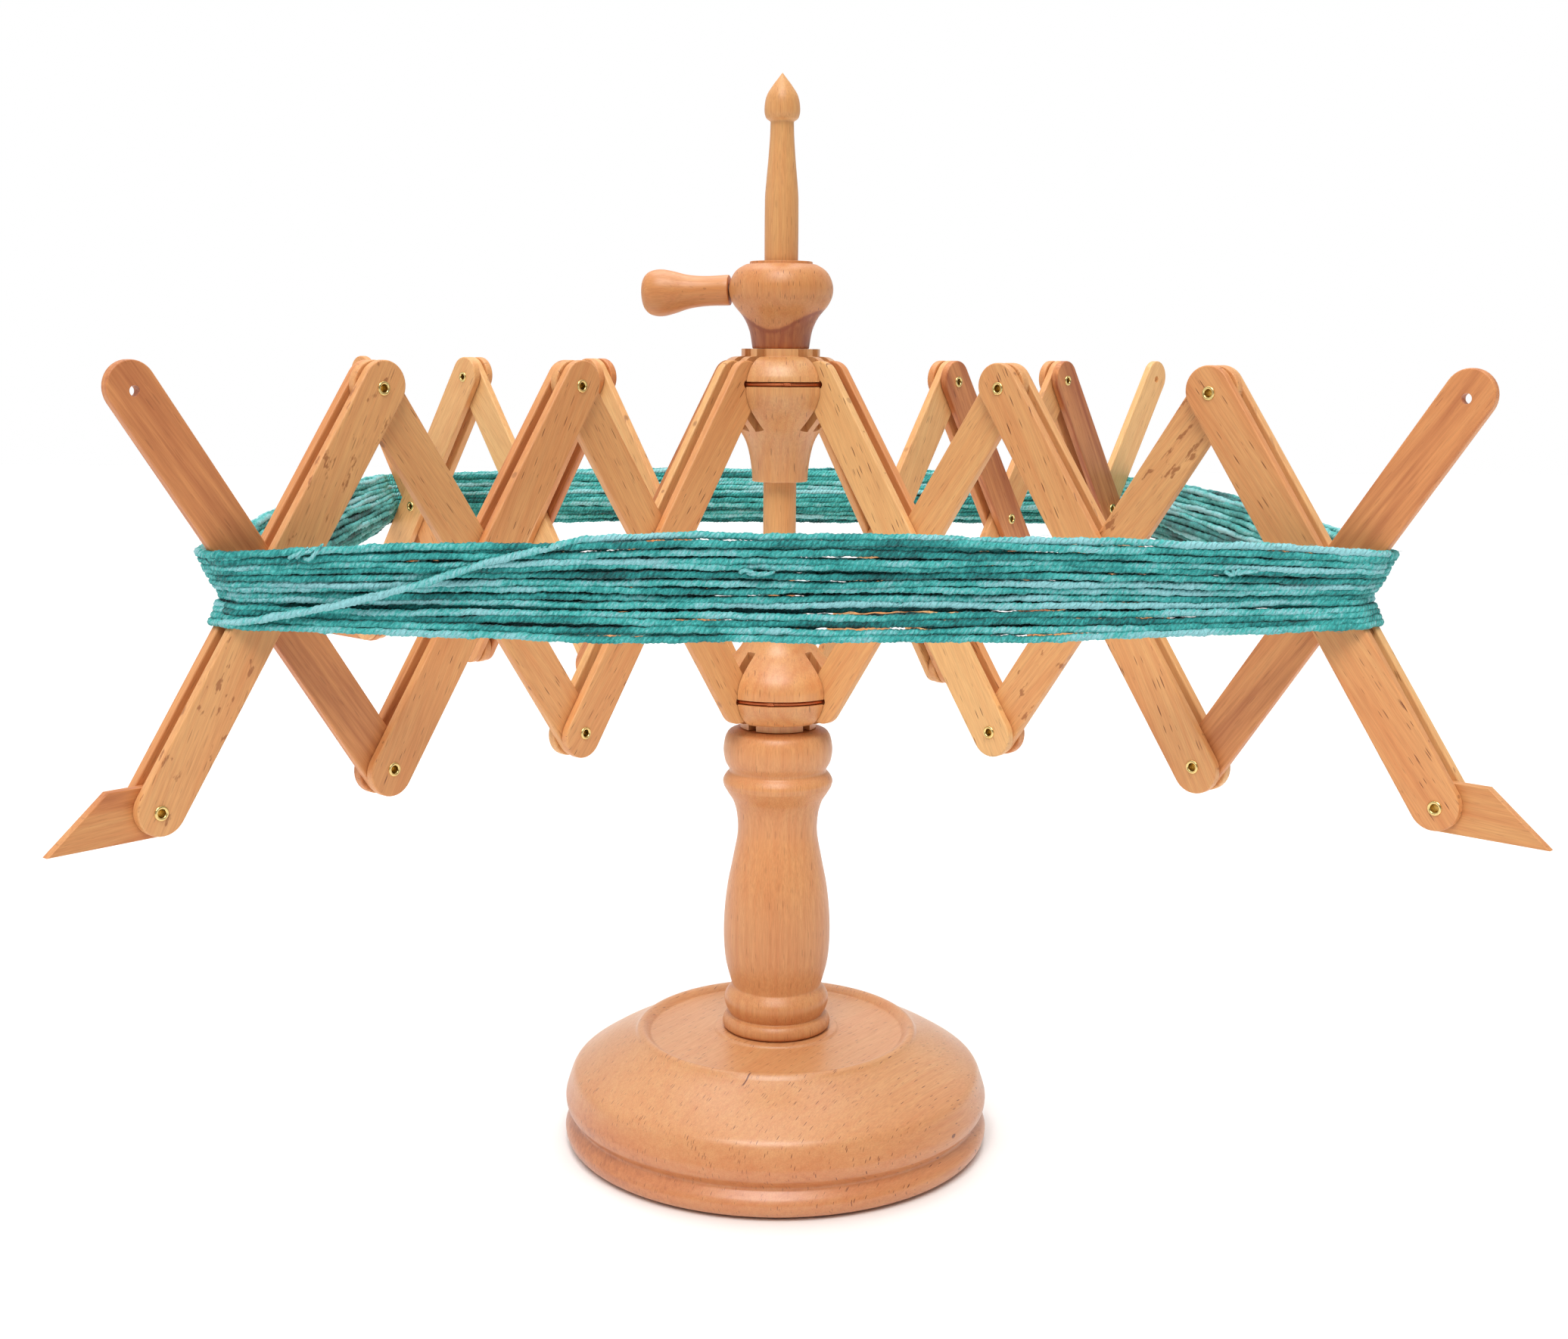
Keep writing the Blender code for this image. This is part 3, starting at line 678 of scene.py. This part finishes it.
def turned_piece(
    name, profile, steps, material, body, slot_name, node, world=Matrix.Identity(4), cut=0.0005, fineness=6
):
    """A lathe piece. A profile whose ends are the same point is a closed ring."""
    closed = profile[0][:2] == profile[-1][:2]
    drawn = smooth_profile(profile, fineness, cut)
    if closed:
        drawn.pop()
    points, faces = lathe(drawn, steps, closed)
    made = add_piece(name, points, faces, material, body, slot_name, (node,), world)
    made.data.set_sharp_from_angle(angle=math.radians(42))
    return made


def base_tone_with_painted_shade(point):
    """The board's tone with painted shade: redder and darker in the lower half of the board, and most of all at
    its left.
    """
    # Painted shade towards the bottom and at the lower left
    low = 1 / (1 + math.exp((point.z - 0.034) / 0.004))
    left = 1 / (1 + math.exp((point.x + 0.070) / 0.012))
    return 0.27 + 0.30 * low + 0.18 * left * low


def make_stand():
    base = turned_piece("base_turned", BASE_PROFILE, 192, BASE_BEECH, "stand", "stand_beech", "base")
    # The base's tone numbers carry painted shade
    mark_wood(base, FLAT_GRAIN, (0.35, 0.02, -0.115), base_tone_with_painted_shade, 1.0)
    column = turned_piece("column_turned", COLUMN_PROFILE, 128, COLUMN_BEECH, "stand", "stand_beech", "column")
    mark_wood(column, UPRIGHT_GRAIN, (0.9, 0.075, 0.03), 0.46, 0.4)
    shaft = turned_piece("shaft_turned", SHAFT_PROFILE, 96, SHAFT_BEECH, "stand", "shaft_beech", "centre_shaft")
    mark_wood(shaft, UPRIGHT_GRAIN, (1.7, -0.06, 0.05), 0.22, 0.3)
    turned_piece("screw_turned", SCREW_PROFILE, 48, STEEL, "stand", "steel", "base_screw", cut=0.0002)


SLOT_OUTLINE = [(0.0150, -0.0080), (0.0220, -0.0270), (0.0450, -0.0270), (0.0450, 0.0190), (0.0150, 0.0190)]
SLOT_HALF_WIDTH = 0.0027


def cut_slots(piece, side, offsets):
    """Saws the slats' slots into a hub, then makes the cut part of its mesh."""
    outline = SLOT_OUTLINE if side > 0 else [(radius, -height) for radius, height in reversed(SLOT_OUTLINE)]
    count = len(outline)
    points, faces = [], []
    for arm in range(ARM_COUNT):
        turn = Matrix.Rotation(FIRST_ARM_TURN + arm * math.tau / ARM_COUNT, 4, "Z")
        for offset in offsets:
            near = [len(points) + i for i in range(count)]
            far = [i + count for i in near]
            for y in (offset - SLOT_HALF_WIDTH, offset + SLOT_HALF_WIDTH):
                points += [turn @ Vector((x, y, z)) for x, z in outline]
            faces += [near, far[::-1]]
            faces += [(near[i], near[i - 1], far[i - 1], far[i]) for i in range(count)]
    cutter = new_object("slot_cutter", new_mesh("slot_cutter", points, faces))
    cutter.matrix_world = piece.matrix_world.copy()
    boolean = piece.modifiers.new("slots", "BOOLEAN")
    boolean.operation = "DIFFERENCE"
    boolean.solver = "EXACT"
    boolean.object = cutter
    bpy.context.view_layer.update()
    cut = bpy.data.meshes.new_from_object(piece.evaluated_get(bpy.context.evaluated_depsgraph_get()))
    piece.modifiers.remove(boolean)
    piece.data = cut
    bpy.data.objects.remove(cutter)


def wire_ring(name, z, body, node, turn):
    """A ring of copper wire with the twisted join of its two ends."""
    steps, sides = 160, 10
    points, faces = [], []

    def add_tube(path, radius, cyclic):
        start = len(points)
        count = len(path)
        for i, point in enumerate(path):
            before = path[i - 1 if cyclic else max(i - 1, 0)]
            after = path[(i + 1) % count if cyclic else min(i + 1, count - 1)]
            along = (after - before).normalized()
            side = along.cross(Vector((0, 0, 1)))
            side = side.normalized() if side.length > 0.2 else along.orthogonal().normalized()
            up = side.cross(along)
            for k in range(sides):
                a = math.tau * k / sides
                points.append(point + radius * (math.cos(a) * side + math.sin(a) * up))
        for i in range(count if cyclic else count - 1):
            low, high = start + i * sides, start + ((i + 1) % count) * sides
            for k in range(sides):
                j = (k + 1) % sides
                faces.append((low + k, high + k, high + j, low + j))
        if not cyclic:
            faces.append([start + k for k in range(sides)])
            faces.append([start + (count - 1) * sides + k for k in reversed(range(sides))])

    angles = [math.tau * i / steps for i in range(steps)]
    add_tube([Vector((RING_R * math.cos(a), RING_R * math.sin(a), 0.0)) for a in angles], WIRE_R, True)
    for phase in (0.0, math.pi):
        path = []
        for i in range(JOIN_STEPS + 1):
            share = i / JOIN_STEPS
            a = turn + (share - 0.5) * JOIN_ARC
            spin = phase + share * JOIN_TURNS * math.tau
            out = RING_R + 0.0007 + 0.0005 * math.cos(spin)
            path.append(Vector((out * math.cos(a), out * math.sin(a), 0.0005 * math.sin(spin))))
        add_tube(path, JOIN_WIRE_R, False)
    add_piece(name, points, faces, COPPER, body, "copper_wire", (node,), Matrix.Translation((0.0, 0.0, z)))


def make_hubs():
    for name, side, z, offsets, tone, knot in (
        ("lower", -1, Z_LOWER, (0.0,), 0.40, -97),
        ("upper", 1, Z_UPPER, (-LAYER_PITCH, LAYER_PITCH), 0.30, -84),
    ):
        profile = HUB_PROFILE
        if side < 0:
            profile = [(point[0], -point[1], *point[2:]) for point in reversed(profile)]
        world = Matrix.Translation((0.0, 0.0, z))
        body = f"{name}_hub"
        hub = turned_piece(f"{body}_turned", profile, 128, HUB_BEECH, body, "hub_beech", body, world, 0.0003)
        cut_slots(hub, side, offsets)
        hub.data.set_sharp_from_angle(angle=math.radians(38))
        mark_wood(hub, UPRIGHT_GRAIN, (3.1 + side, 0.05, 0.04 * side), tone, 0.65)
        wire_ring(f"{name}_wire", z, body, f"{name}_wire_ring", math.radians(knot))


def collar_tone(point):
    """Redder below a wavy dark line, where the collar's turning cuts a growth ring."""
    turn = math.atan2(point.x, -point.y)
    line = 0.0142 - 0.0050 * math.cos(2 * turn + 0.6)
    below = (line - point.z) / 0.0008
    return 0.50 + 0.40 / (1 + math.exp(-below)) + 0.30 * math.exp(-((below - 0.6) ** 2) / 2)


def make_collar():
    collar_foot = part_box("collar")[0].z
    world = Matrix.Translation((0.0, 0.0, collar_foot))
    collar = turned_piece(
        "collar_turned", COLLAR_PROFILE, 160, COLLAR_BEECH, "collar", "collar_beech", "collar", world,
        fineness=12,
    )
    mark_wood(collar, UPRIGHT_GRAIN, (0.2, 0.016, 0.012), collar_tone, 1.0)
    axis = Vector(JOINTS["clamp_turn"]["axis"])
    start = joint_at("clamp_turn")
    at_handle = frame_matrix(start + axis * 0.0278, axis.cross((0, 0, 1)), axis)
    handle = turned_piece(
        "handle_turned", HANDLE_PROFILE, 80, COLLAR_BEECH, "clamp_screw", "collar_beech", "clamp_handle",
        at_handle,
    )
    mark_wood(handle, UPRIGHT_GRAIN, (5.2, 0.04, 0.02), 0.50, 0.4)
    at_stud = frame_matrix(start, axis.cross((0, 0, 1)), axis)
    turned_piece("stud_turned", STUD_PROFILE, 40, STEEL, "clamp_screw", "steel", "clamp_stud", at_stud, 0.0002)


# ---------------------------------------------------------------- arms


def arm_frame(arm):
    """Unit vectors outwards along an arm and level across it."""
    turn = FIRST_ARM_TURN + arm * math.tau / ARM_COUNT
    outwards = Vector((math.cos(turn), math.sin(turn), 0.0))
    return outwards, Vector((-math.sin(turn), math.cos(turn), 0.0))


def arm_point(arm, steps, z):
    """A point of an arm, so many half slats out from the wire rings."""
    outwards, _ = arm_frame(arm)
    return outwards * (RING_R + steps * HALF_STEP) + Vector((0.0, 0.0, z))


def slat_board(outer_end, free_end):
    """Board of a slat: X runs outwards along it."""
    radius = SLAT_WIDTH / 2
    right = arc(HALF_SPAN + outer_end - radius, radius, -90, 90, 20)
    left = arc(radius - SLAT_END - HALF_SPAN, radius, 90, 270, 20)
    outer_hole = (HALF_SPAN, FREE_HOLE_R if free_end else PIVOT_HOLE_R)
    holes = [(-HALF_SPAN, PIVOT_HOLE_R), (0.0, PIVOT_HOLE_R), outer_hole]
    return board(right + left, holes, SLAT_THICK, SLAT_EDGE_ROUND)


def stop_board():
    """Board of a pointed stop piece: X runs outwards along it."""
    half = SLAT_WIDTH / 2
    outline = arc(0.0, half, 90, 270, 20) + [(STOP_TIP, -half), (STOP_CORNER, half)]
    return board(outline, [(0.0, PIVOT_HOLE_R)], SLAT_THICK, SLAT_EDGE_ROUND * 0.8)


def eyelet():
    """A brass eyelet through the three layers, with a rolled rim at each end."""
    rim = []
    lip = (EYELET_R - EYELET_BORE_R) / 2
    for k in range(9):
        a = math.pi * k / 8
        rim.append((EYELET_BORE_R + lip * (1 - math.cos(a)), PACK_HALF + 0.0007 * math.sin(a)))
    barrel = PIVOT_HOLE_R - 0.00015
    outside = rim + [(barrel, PACK_HALF - 0.0001)]
    profile = outside + [(radius, -height) for radius, height in reversed(outside)]
    return lathe(profile, 32, True)


STAINED_SLATS = ("arm3_pair3_left", "arm4_single2")
# Tone and share of flecks of the slats that differ most: each was cut from its own board
WOOD_OF = {
    "arm3_single3": (0.70, 0.3), "arm3_single2": (0.44, 0.7), "arm3_single1": (0.36, 0.7),
    "arm3_pair3_left": (0.38, 0.5), "arm3_pair3_right": (0.56, 0.5), "arm3_pair2_left": (0.52, 1.0),
    "arm3_pair2_right": (0.62, 0.6), "arm3_pair1_left": (0.50, 1.0), "arm3_stop": (0.54, 0.3),
    "arm4_single3": (0.72, 0.3), "arm4_single2": (0.42, 0.3), "arm4_single1": (0.34, 0.4),
    "arm4_pair3_right": (0.54, 1.0), "arm4_pair2_right": (0.42, 1.0), "arm4_pair1_right": (0.10, 1.0),
    "arm4_stop": (0.30, 0.3), "arm2_single2": (0.02, 0.3), "arm2_pair2_left": (0.45, 0.6),
    "arm1_single3": (0.05, 0.4), "arm1_single2": (0.30, 0.5), "arm1_pair3_right": (0.84, 0.5),
    "arm1_pair2_right": (0.80, 0.6),
}


def make_arms():
    rng = np.random.default_rng(7)
    boards = {
        "slat": slat_board(SLAT_END, False),
        "free": slat_board(SLAT_END, True),
        "last_pair": slat_board(LAST_PAIR_END, False),
        "stop": stop_board(),
        "eyelet": eyelet(),
    }

    def add_board(kind, node, body, world):
        slot_name = "stop_beech" if kind == "stop" else "slat_beech"
        wood = STAINED_BEECH if node in STAINED_SLATS else SLAT_BEECH
        material = STOP_BEECH if kind == "stop" else wood
        made = add_piece(f"{node}_board", *boards[kind], material, body, slot_name, (node,), world)
        flatten_shading(made)
        tilt = Matrix.Rotation(rng.uniform(-0.03, 0.03), 3, "Y")
        tilt = tilt @ Matrix.Rotation(rng.uniform(-0.13, 0.13), 3, "Z")
        offset = (rng.uniform(-3, 3), rng.uniform(-0.03, 0.03), rng.choice((-1, 1)) * rng.uniform(0.02, 0.06))
        usual = (rng.uniform(0.10, 0.75), rng.uniform(0.3, 0.9))
        mark_wood(made, tilt, offset, *WOOD_OF.get(node, usual))

    def add_eyelet(name, body, place, sideways):
        world = frame_matrix(place, (0, 0, 1), sideways)
        made = add_piece(name, *boards["eyelet"], BRASS, body, "brass_eyelet", (), world)
        made.data.set_sharp_from_angle(angle=math.radians(60))

    for arm in range(ARM_COUNT):
        outwards, sideways = arm_frame(arm)
        label = f"arm{arm + 1}"
        for stage in range(STAGE_COUNT):
            last = stage == STAGE_COUNT - 1
            middle = arm_point(arm, 2 * stage + 1, Z_MIDDLE)
            rise = Vector((0.0, 0.0, math.sin(SLAT_PITCH)))
            level = outwards * math.cos(SLAT_PITCH)
            pair, single = f"{label}_pair{stage + 1}", f"{label}_single{stage + 1}"
            for side, layer in (("left", 1), ("right", -1)):
                world = frame_matrix(middle + sideways * (layer * LAYER_PITCH), level - rise, sideways)
                add_board("last_pair" if last else "slat", f"{pair}_{side}", pair, world)
            add_board("free" if last else "slat", single, single, frame_matrix(middle, level + rise, sideways))
            add_eyelet(f"{label}_eyelet_crossing{stage + 1}", pair, middle, sideways)
            foot = arm_point(arm, 2 * stage + 2, Z_LOWER)
            add_eyelet(f"{label}_eyelet_foot{stage + 1}", pair, foot, sideways)
            if stage:
                peak = arm_point(arm, 2 * stage, Z_UPPER)
                add_eyelet(f"{label}_eyelet_peak{stage}", pair, peak, sideways)
        stop_at = arm_point(arm, 2 * STAGE_COUNT, Z_LOWER)
        add_board("stop", f"{label}_stop", f"{label}_stop", frame_matrix(stop_at, outwards, -sideways))


# ---------------------------------------------------------------- yarn

TURN_COUNT = INNER_TURNS + OUTER_TURNS + 1
# Painted shade: how much the dye is darkened on a strand's side where other strands lie against it
PAINTED_GAP_SHADE = 0.24
UNEVEN = np.random.default_rng(11).uniform(-0.05, 0.05, TURN_COUNT)  # of the outer turns' height shares


def turn_height(turn):
    """Height share, -1 to 1, at which a turn of the yarn starts, at arm 3."""
    if turn < INNER_TURNS:
        return -0.93 + 1.82 * turn / (INNER_TURNS - 1)
    if turn < INNER_TURNS + OUTER_TURNS:
        return 0.98 - 1.98 * (turn - INNER_TURNS) / (OUTER_TURNS - 1) + UNEVEN[turn]
    return 1.0


def corner_share(corner):
    """Height share where the yarn passes an arm: corner 0 is its start at arm 3."""
    turn, part = divmod(corner, ARM_COUNT)
    here, following = turn_height(turn), turn_height(min(turn + 1, TURN_COUNT - 1))
    if turn == INNER_TURNS + OUTER_TURNS - 1:
        following = -1.0
    return here + (following - here) * part / ARM_COUNT


def corner_radius(height, outer, share):
    """How far out a strand lies at an arm: against the V between the crossing slats."""
    clear = (abs(height) + SLAT_WIDTH / 2 / math.cos(SLAT_PITCH)) / math.tan(SLAT_PITCH)
    resting = RING_R + 5 * HALF_STEP + clear + 0.8 * YARN_R / math.sin(SLAT_PITCH)
    return resting + (OUTER_LAYER * max(0.15, 1 - share**2) if outer else 0.0)


def wander(along, waves, rng):
    """A smooth irregular line: sine waves of given lengths and heights with chance phases."""
    total = np.zeros_like(along)
    for length, height in waves:
        stretch = rng.uniform(0.85, 1.15)
        total += height * np.sin(math.tau * along / (length * stretch) + rng.uniform(0, math.tau))
    return total


def plan_path(start_r, end_r):
    """Plan of one strand from arm to arm, in the side's frame: X out through its middle, Y along it."""
    half = math.tau / ARM_COUNT / 2
    points = []
    for sign, radius in ((-1, start_r), (1, end_r)):
        out = np.array([math.cos(half), sign * math.sin(half)])
        towards = np.array([math.sin(half), -sign * math.cos(half)])
        points.append((out * radius, out * radius + towards * YARN_FLAT, towards))
    (start, start_bend, start_way), (end, end_bend, end_way) = points
    chord = (end_bend - start_bend) / np.linalg.norm(end_bend - start_bend)
    reach = YARN_BEND_R * math.tan(half / 2)
    path = [start]
    for bend, first, second in ((start_bend, start_way, chord), (end_bend, chord, -end_way)):
        enter, leave = bend - first * reach, bend + second * reach
        for t in np.linspace(0, 1, 6):
            path.append((1 - t) ** 2 * enter + 2 * t * (1 - t) * bend + t**2 * leave)
    path.append(end)
    return np.array(path)


def resample(path, step):
    """Distances along a path at about even steps, and its points there."""
    lengths = np.concatenate([[0.0], np.cumsum(np.linalg.norm(np.diff(path, axis=0), axis=1))])
    count = max(8, int(lengths[-1] / step))
    along = np.linspace(0, lengths[-1], count + 1)
    return along, np.stack([np.interp(along, lengths, path[:, i]) for i in range(path.shape[1])], axis=1)


class TubeMesh:
    """Collects yarn strands into one mesh, with strand coordinates, and dye with painted shade where strands
    lie against each other.
    """

    def __init__(self):
        self.points, self.faces, self.uv, self.dye = [], [], [], []
        self.count = 0

    def add(self, path, along, radius, dye, phase, sides, shaded_side=-1.0):
        """Adds a strand: its path, and distance along, radius and dye at each point of it."""
        tangent = np.gradient(path, axis=0)
        tangent /= np.linalg.norm(tangent, axis=1)[:, None]
        side = np.cross(tangent, np.array([0.0, 0.0, 1.0]))
        weak = np.linalg.norm(side, axis=1) < 0.3
        side[weak] = np.cross(tangent[weak], np.array([1.0, 0.0, 0.0]))
        side /= np.linalg.norm(side, axis=1)[:, None]
        up = np.cross(side, tangent)
        angle = math.tau * np.arange(sides) / sides
        twist = math.tau * along / PLY_PITCH + phase
        lobe = 1 + LOBE_HEIGHT * np.cos(PLY_COUNT * (angle[None, :] - twist[:, None]))
        reach = radius[:, None] * lobe
        ring = (
            path[:, None, :]
            + reach[..., None] * np.cos(angle)[None, :, None] * side[:, None, :]
            + reach[..., None] * np.sin(angle)[None, :, None] * up[:, None, :]
        )
        rings = len(path)
        start = self.count
        self.points.append(ring.reshape(-1, 3))
        # Painted shade: the dye is made darker on the side where other strands lie against it
        strand_gap_shade = PAINTED_GAP_SHADE * (1 + shaded_side * np.cos(angle))  # darker where other strands lie against it
        self.dye.append((dye[:, None] - strand_gap_shade[None, :]).ravel())
        k = np.arange(rings - 1)[:, None]
        j = np.arange(sides)[None, :]
        j2 = (j + 1) % sides
        quads = np.stack([k * sides + j, (k + 1) * sides + j, (k + 1) * sides + j2, k * sides + j2], axis=-1)
        self.faces += (quads.reshape(-1, 4) + start).tolist()
        u, u2, v, v2 = (
            np.broadcast_to(values, (rings - 1, sides))
            for values in (along[:-1, None], along[1:, None], j / sides, (j + 1) / sides)
        )
        corners = [np.stack(corner, -1) for corner in ((u, v), (u2, v), (u2, v2), (u, v2))]
        self.uv.append(np.stack(corners, -2).reshape(-1, 2))
        self.faces.append([start + i for i in range(sides)])
        last = start + (rings - 1) * sides
        self.faces.append([last + i for i in reversed(range(sides))])
        self.uv.append(np.zeros((2 * sides, 2)))
        self.count += rings * sides

    def build(self, name, world):
        """Makes the mesh piece of all the strands."""
        mesh = new_mesh(name, np.concatenate(self.points).tolist(), self.faces)
        layer = mesh.uv_layers.new(name="strand")
        layer.data.foreach_set("uv", np.concatenate(self.uv).astype(np.float32).ravel())
        # The dye numbers include the painted shade between strands
        store_numbers(mesh, "dye", np.concatenate(self.dye))
        mesh.materials.append(YARN)
        mesh.shade_smooth()
        made = new_object(name, mesh)
        made.matrix_world = world
        return made


def smooth_step(t):
    """0 to 1 as t goes from 0 to 1, level at both ends."""
    t = np.clip(t, 0.0, 1.0)
    return t * t * (3 - 2 * t)


def add_strand(tubes, rng, corner, side, start_along, seed_dye):
    """The yarn between two neighbouring arms."""
    turn = corner // ARM_COUNT
    outer = turn >= INNER_TURNS
    shares = [corner_share(corner), corner_share(corner + 1)]
    slanting = corner == (TURN_COUNT - 1) * ARM_COUNT
    if slanting:
        shares[0] = -1.0
    heights = [YARN_RISE + share * YARN_HALF_AT_ARM for share in shares]
    radii = [corner_radius(height, outer, share) for height, share in zip(heights, shares)]
    step, mesh_sides = OUTER_MESH if outer else INNER_MESH
    along, plan = resample(plan_path(*radii), step)
    length = along[-1]
    share = along / length
    free = smooth_step(np.minimum(along, length - along) / 0.035 - 0.25)  # 0 on the slats, 1 away from them
    level = shares[0] + (shares[1] - shares[0]) * share
    proud = np.zeros_like(along)
    if slanting:
        climb = 0.35 * smooth_step(share / CROSSING_SHARE) + 0.65 * np.clip(share / CROSSING_SHARE, 0, 1)
        level = -1.0 + 2.10 * climb
        over = 1 - smooth_step((share - CROSSING_SHARE + 0.02) / 0.07)
        proud = CROSSING_LIFT * smooth_step(share / 0.05) * over
    bow = 4 * share * (1 - share)
    half = YARN_HALF_AT_ARM + (YARN_HALF_AT_MIDDLE[side] - YARN_HALF_AT_ARM) * bow
    local_along = along + start_along
    height = YARN_RISE + level * half + YARN_LIFT_AT_MIDDLE[side] * bow
    height = height + free * wander(local_along, HEIGHT_WAVES, rng)
    height = height + wander(local_along, BUMP_WAVES, rng)
    depth = free * wander(local_along, DEPTH_WAVES, rng) + proud
    radius = YARN_R * (1 + wander(local_along, THICKNESS_WAVES, rng))
    if not outer:
        depth = depth - INNER_DEPTH * free
        radius = INNER_WIDER * radius
    path = np.column_stack([plan[:, 0] + depth, plan[:, 1], height])
    dye = seed_dye + wander(local_along, DYE_WAVES, rng)
    # Painted shade faces inwards on outer turns and outwards on inner turns
    tubes.add(path, local_along, radius, dye, 0.0, mesh_sides, -1.0 if outer else 1.0)
    if outer:
        add_hairs(tubes, rng, path, radius, seed_dye + 0.2)
    return length


def add_hairs(tubes, rng, path, radius, dye):
    """Single fibres that stand off a strand and lie back on it."""
    for _ in range(HAIRS_PER_STRAND):
        start = rng.integers(4, len(path) - 8)
        angle = rng.uniform(0, math.tau)
        across = np.array([math.cos(angle), 0.0, math.sin(angle)])
        length = rng.uniform(0.002, 0.005)
        t = np.linspace(0, 1, 5)[:, None]
        along = np.array([0.0, rng.choice((-1, 1)) * length, 0.0])
        lift = radius[start] * 0.9 + rng.uniform(0.0004, 0.0011) * np.sin(math.pi * 0.8 * t)
        hair = path[start] + across * lift + along * t
        tubes.add(hair, t[:, 0] * length, np.full(5, HAIR_R), np.full(5, dye), 0.0, 3)


def add_tuft(tubes, rng, place, lift):
    """A small knot with a frayed end that stands out from the skein."""
    for k in range(3):
        t = np.linspace(0, 1, 15)
        swing = rng.uniform(-1, 1, 3)
        x = place[0] + 0.0022 * np.sin(math.pi * t) + 0.0006 * swing[0] * np.sin(3 * t)
        y = place[1] + (k - 1) * 0.003 + 0.0075 * (t - 0.5) + 0.0011 * swing[1] * np.sin(math.tau * t)
        z = place[2] + lift * t + 0.0016 * swing[2] * np.sin(math.pi * 1.5 * t)
        path = np.column_stack([x, y, z])
        along = t * 0.011
        taper = 0.58 * YARN_R * (1 - 0.45 * t**2)
        tubes.add(path, along, taper, np.full_like(t, 0.95), k * 1.3, OUTER_MESH[1])


def make_yarn():
    rng = np.random.default_rng(23)
    sides = {name: TubeMesh() for name in range(1, ARM_COUNT + 1)}
    order = (3, 4, 1, 2)  # the yarn starts at arm 3 and runs along the front side first
    along = 0.0
    for turn in range(TURN_COUNT):
        dye = rng.uniform(0.48, 1.0)
        if turn == TURN_COUNT - 1:
            dye = 0.96
        for part, side in enumerate(order):
            corner = turn * ARM_COUNT + part
            along += add_strand(sides[side], rng, corner, side, along, dye + rng.uniform(-0.06, 0.06))
    for place, height, lift in ((-0.020, 0.0110, 0.0), (0.178, 0.0120, 0.0), (-0.200, 0.0168, 0.0040)):
        radius = corner_radius(height, True, (height - YARN_RISE) / YARN_HALF_AT_ARM)
        surface = plan_path(radius, radius)[:, 0].max() + 0.5 * YARN_R
        add_tuft(sides[3], rng, (surface, place, height), lift)
    for side, tubes in sides.items():
        middle = FIRST_ARM_TURN + (side - 0.5) * math.tau / ARM_COUNT
        world = Matrix.Translation((0.0, 0.0, Z_MIDDLE)) @ Matrix.Rotation(middle, 4, "Z")
        made = tubes.build(f"yarn_strands{side}", world)
        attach(made, f"yarn_side{side}")
        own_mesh(made)
        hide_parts(f"yarn_side{side}")


# ---------------------------------------------------------------- the whole object

make_camera()
make_stage()
make_stand()
make_hubs()
make_collar()
make_arms()
make_yarn()
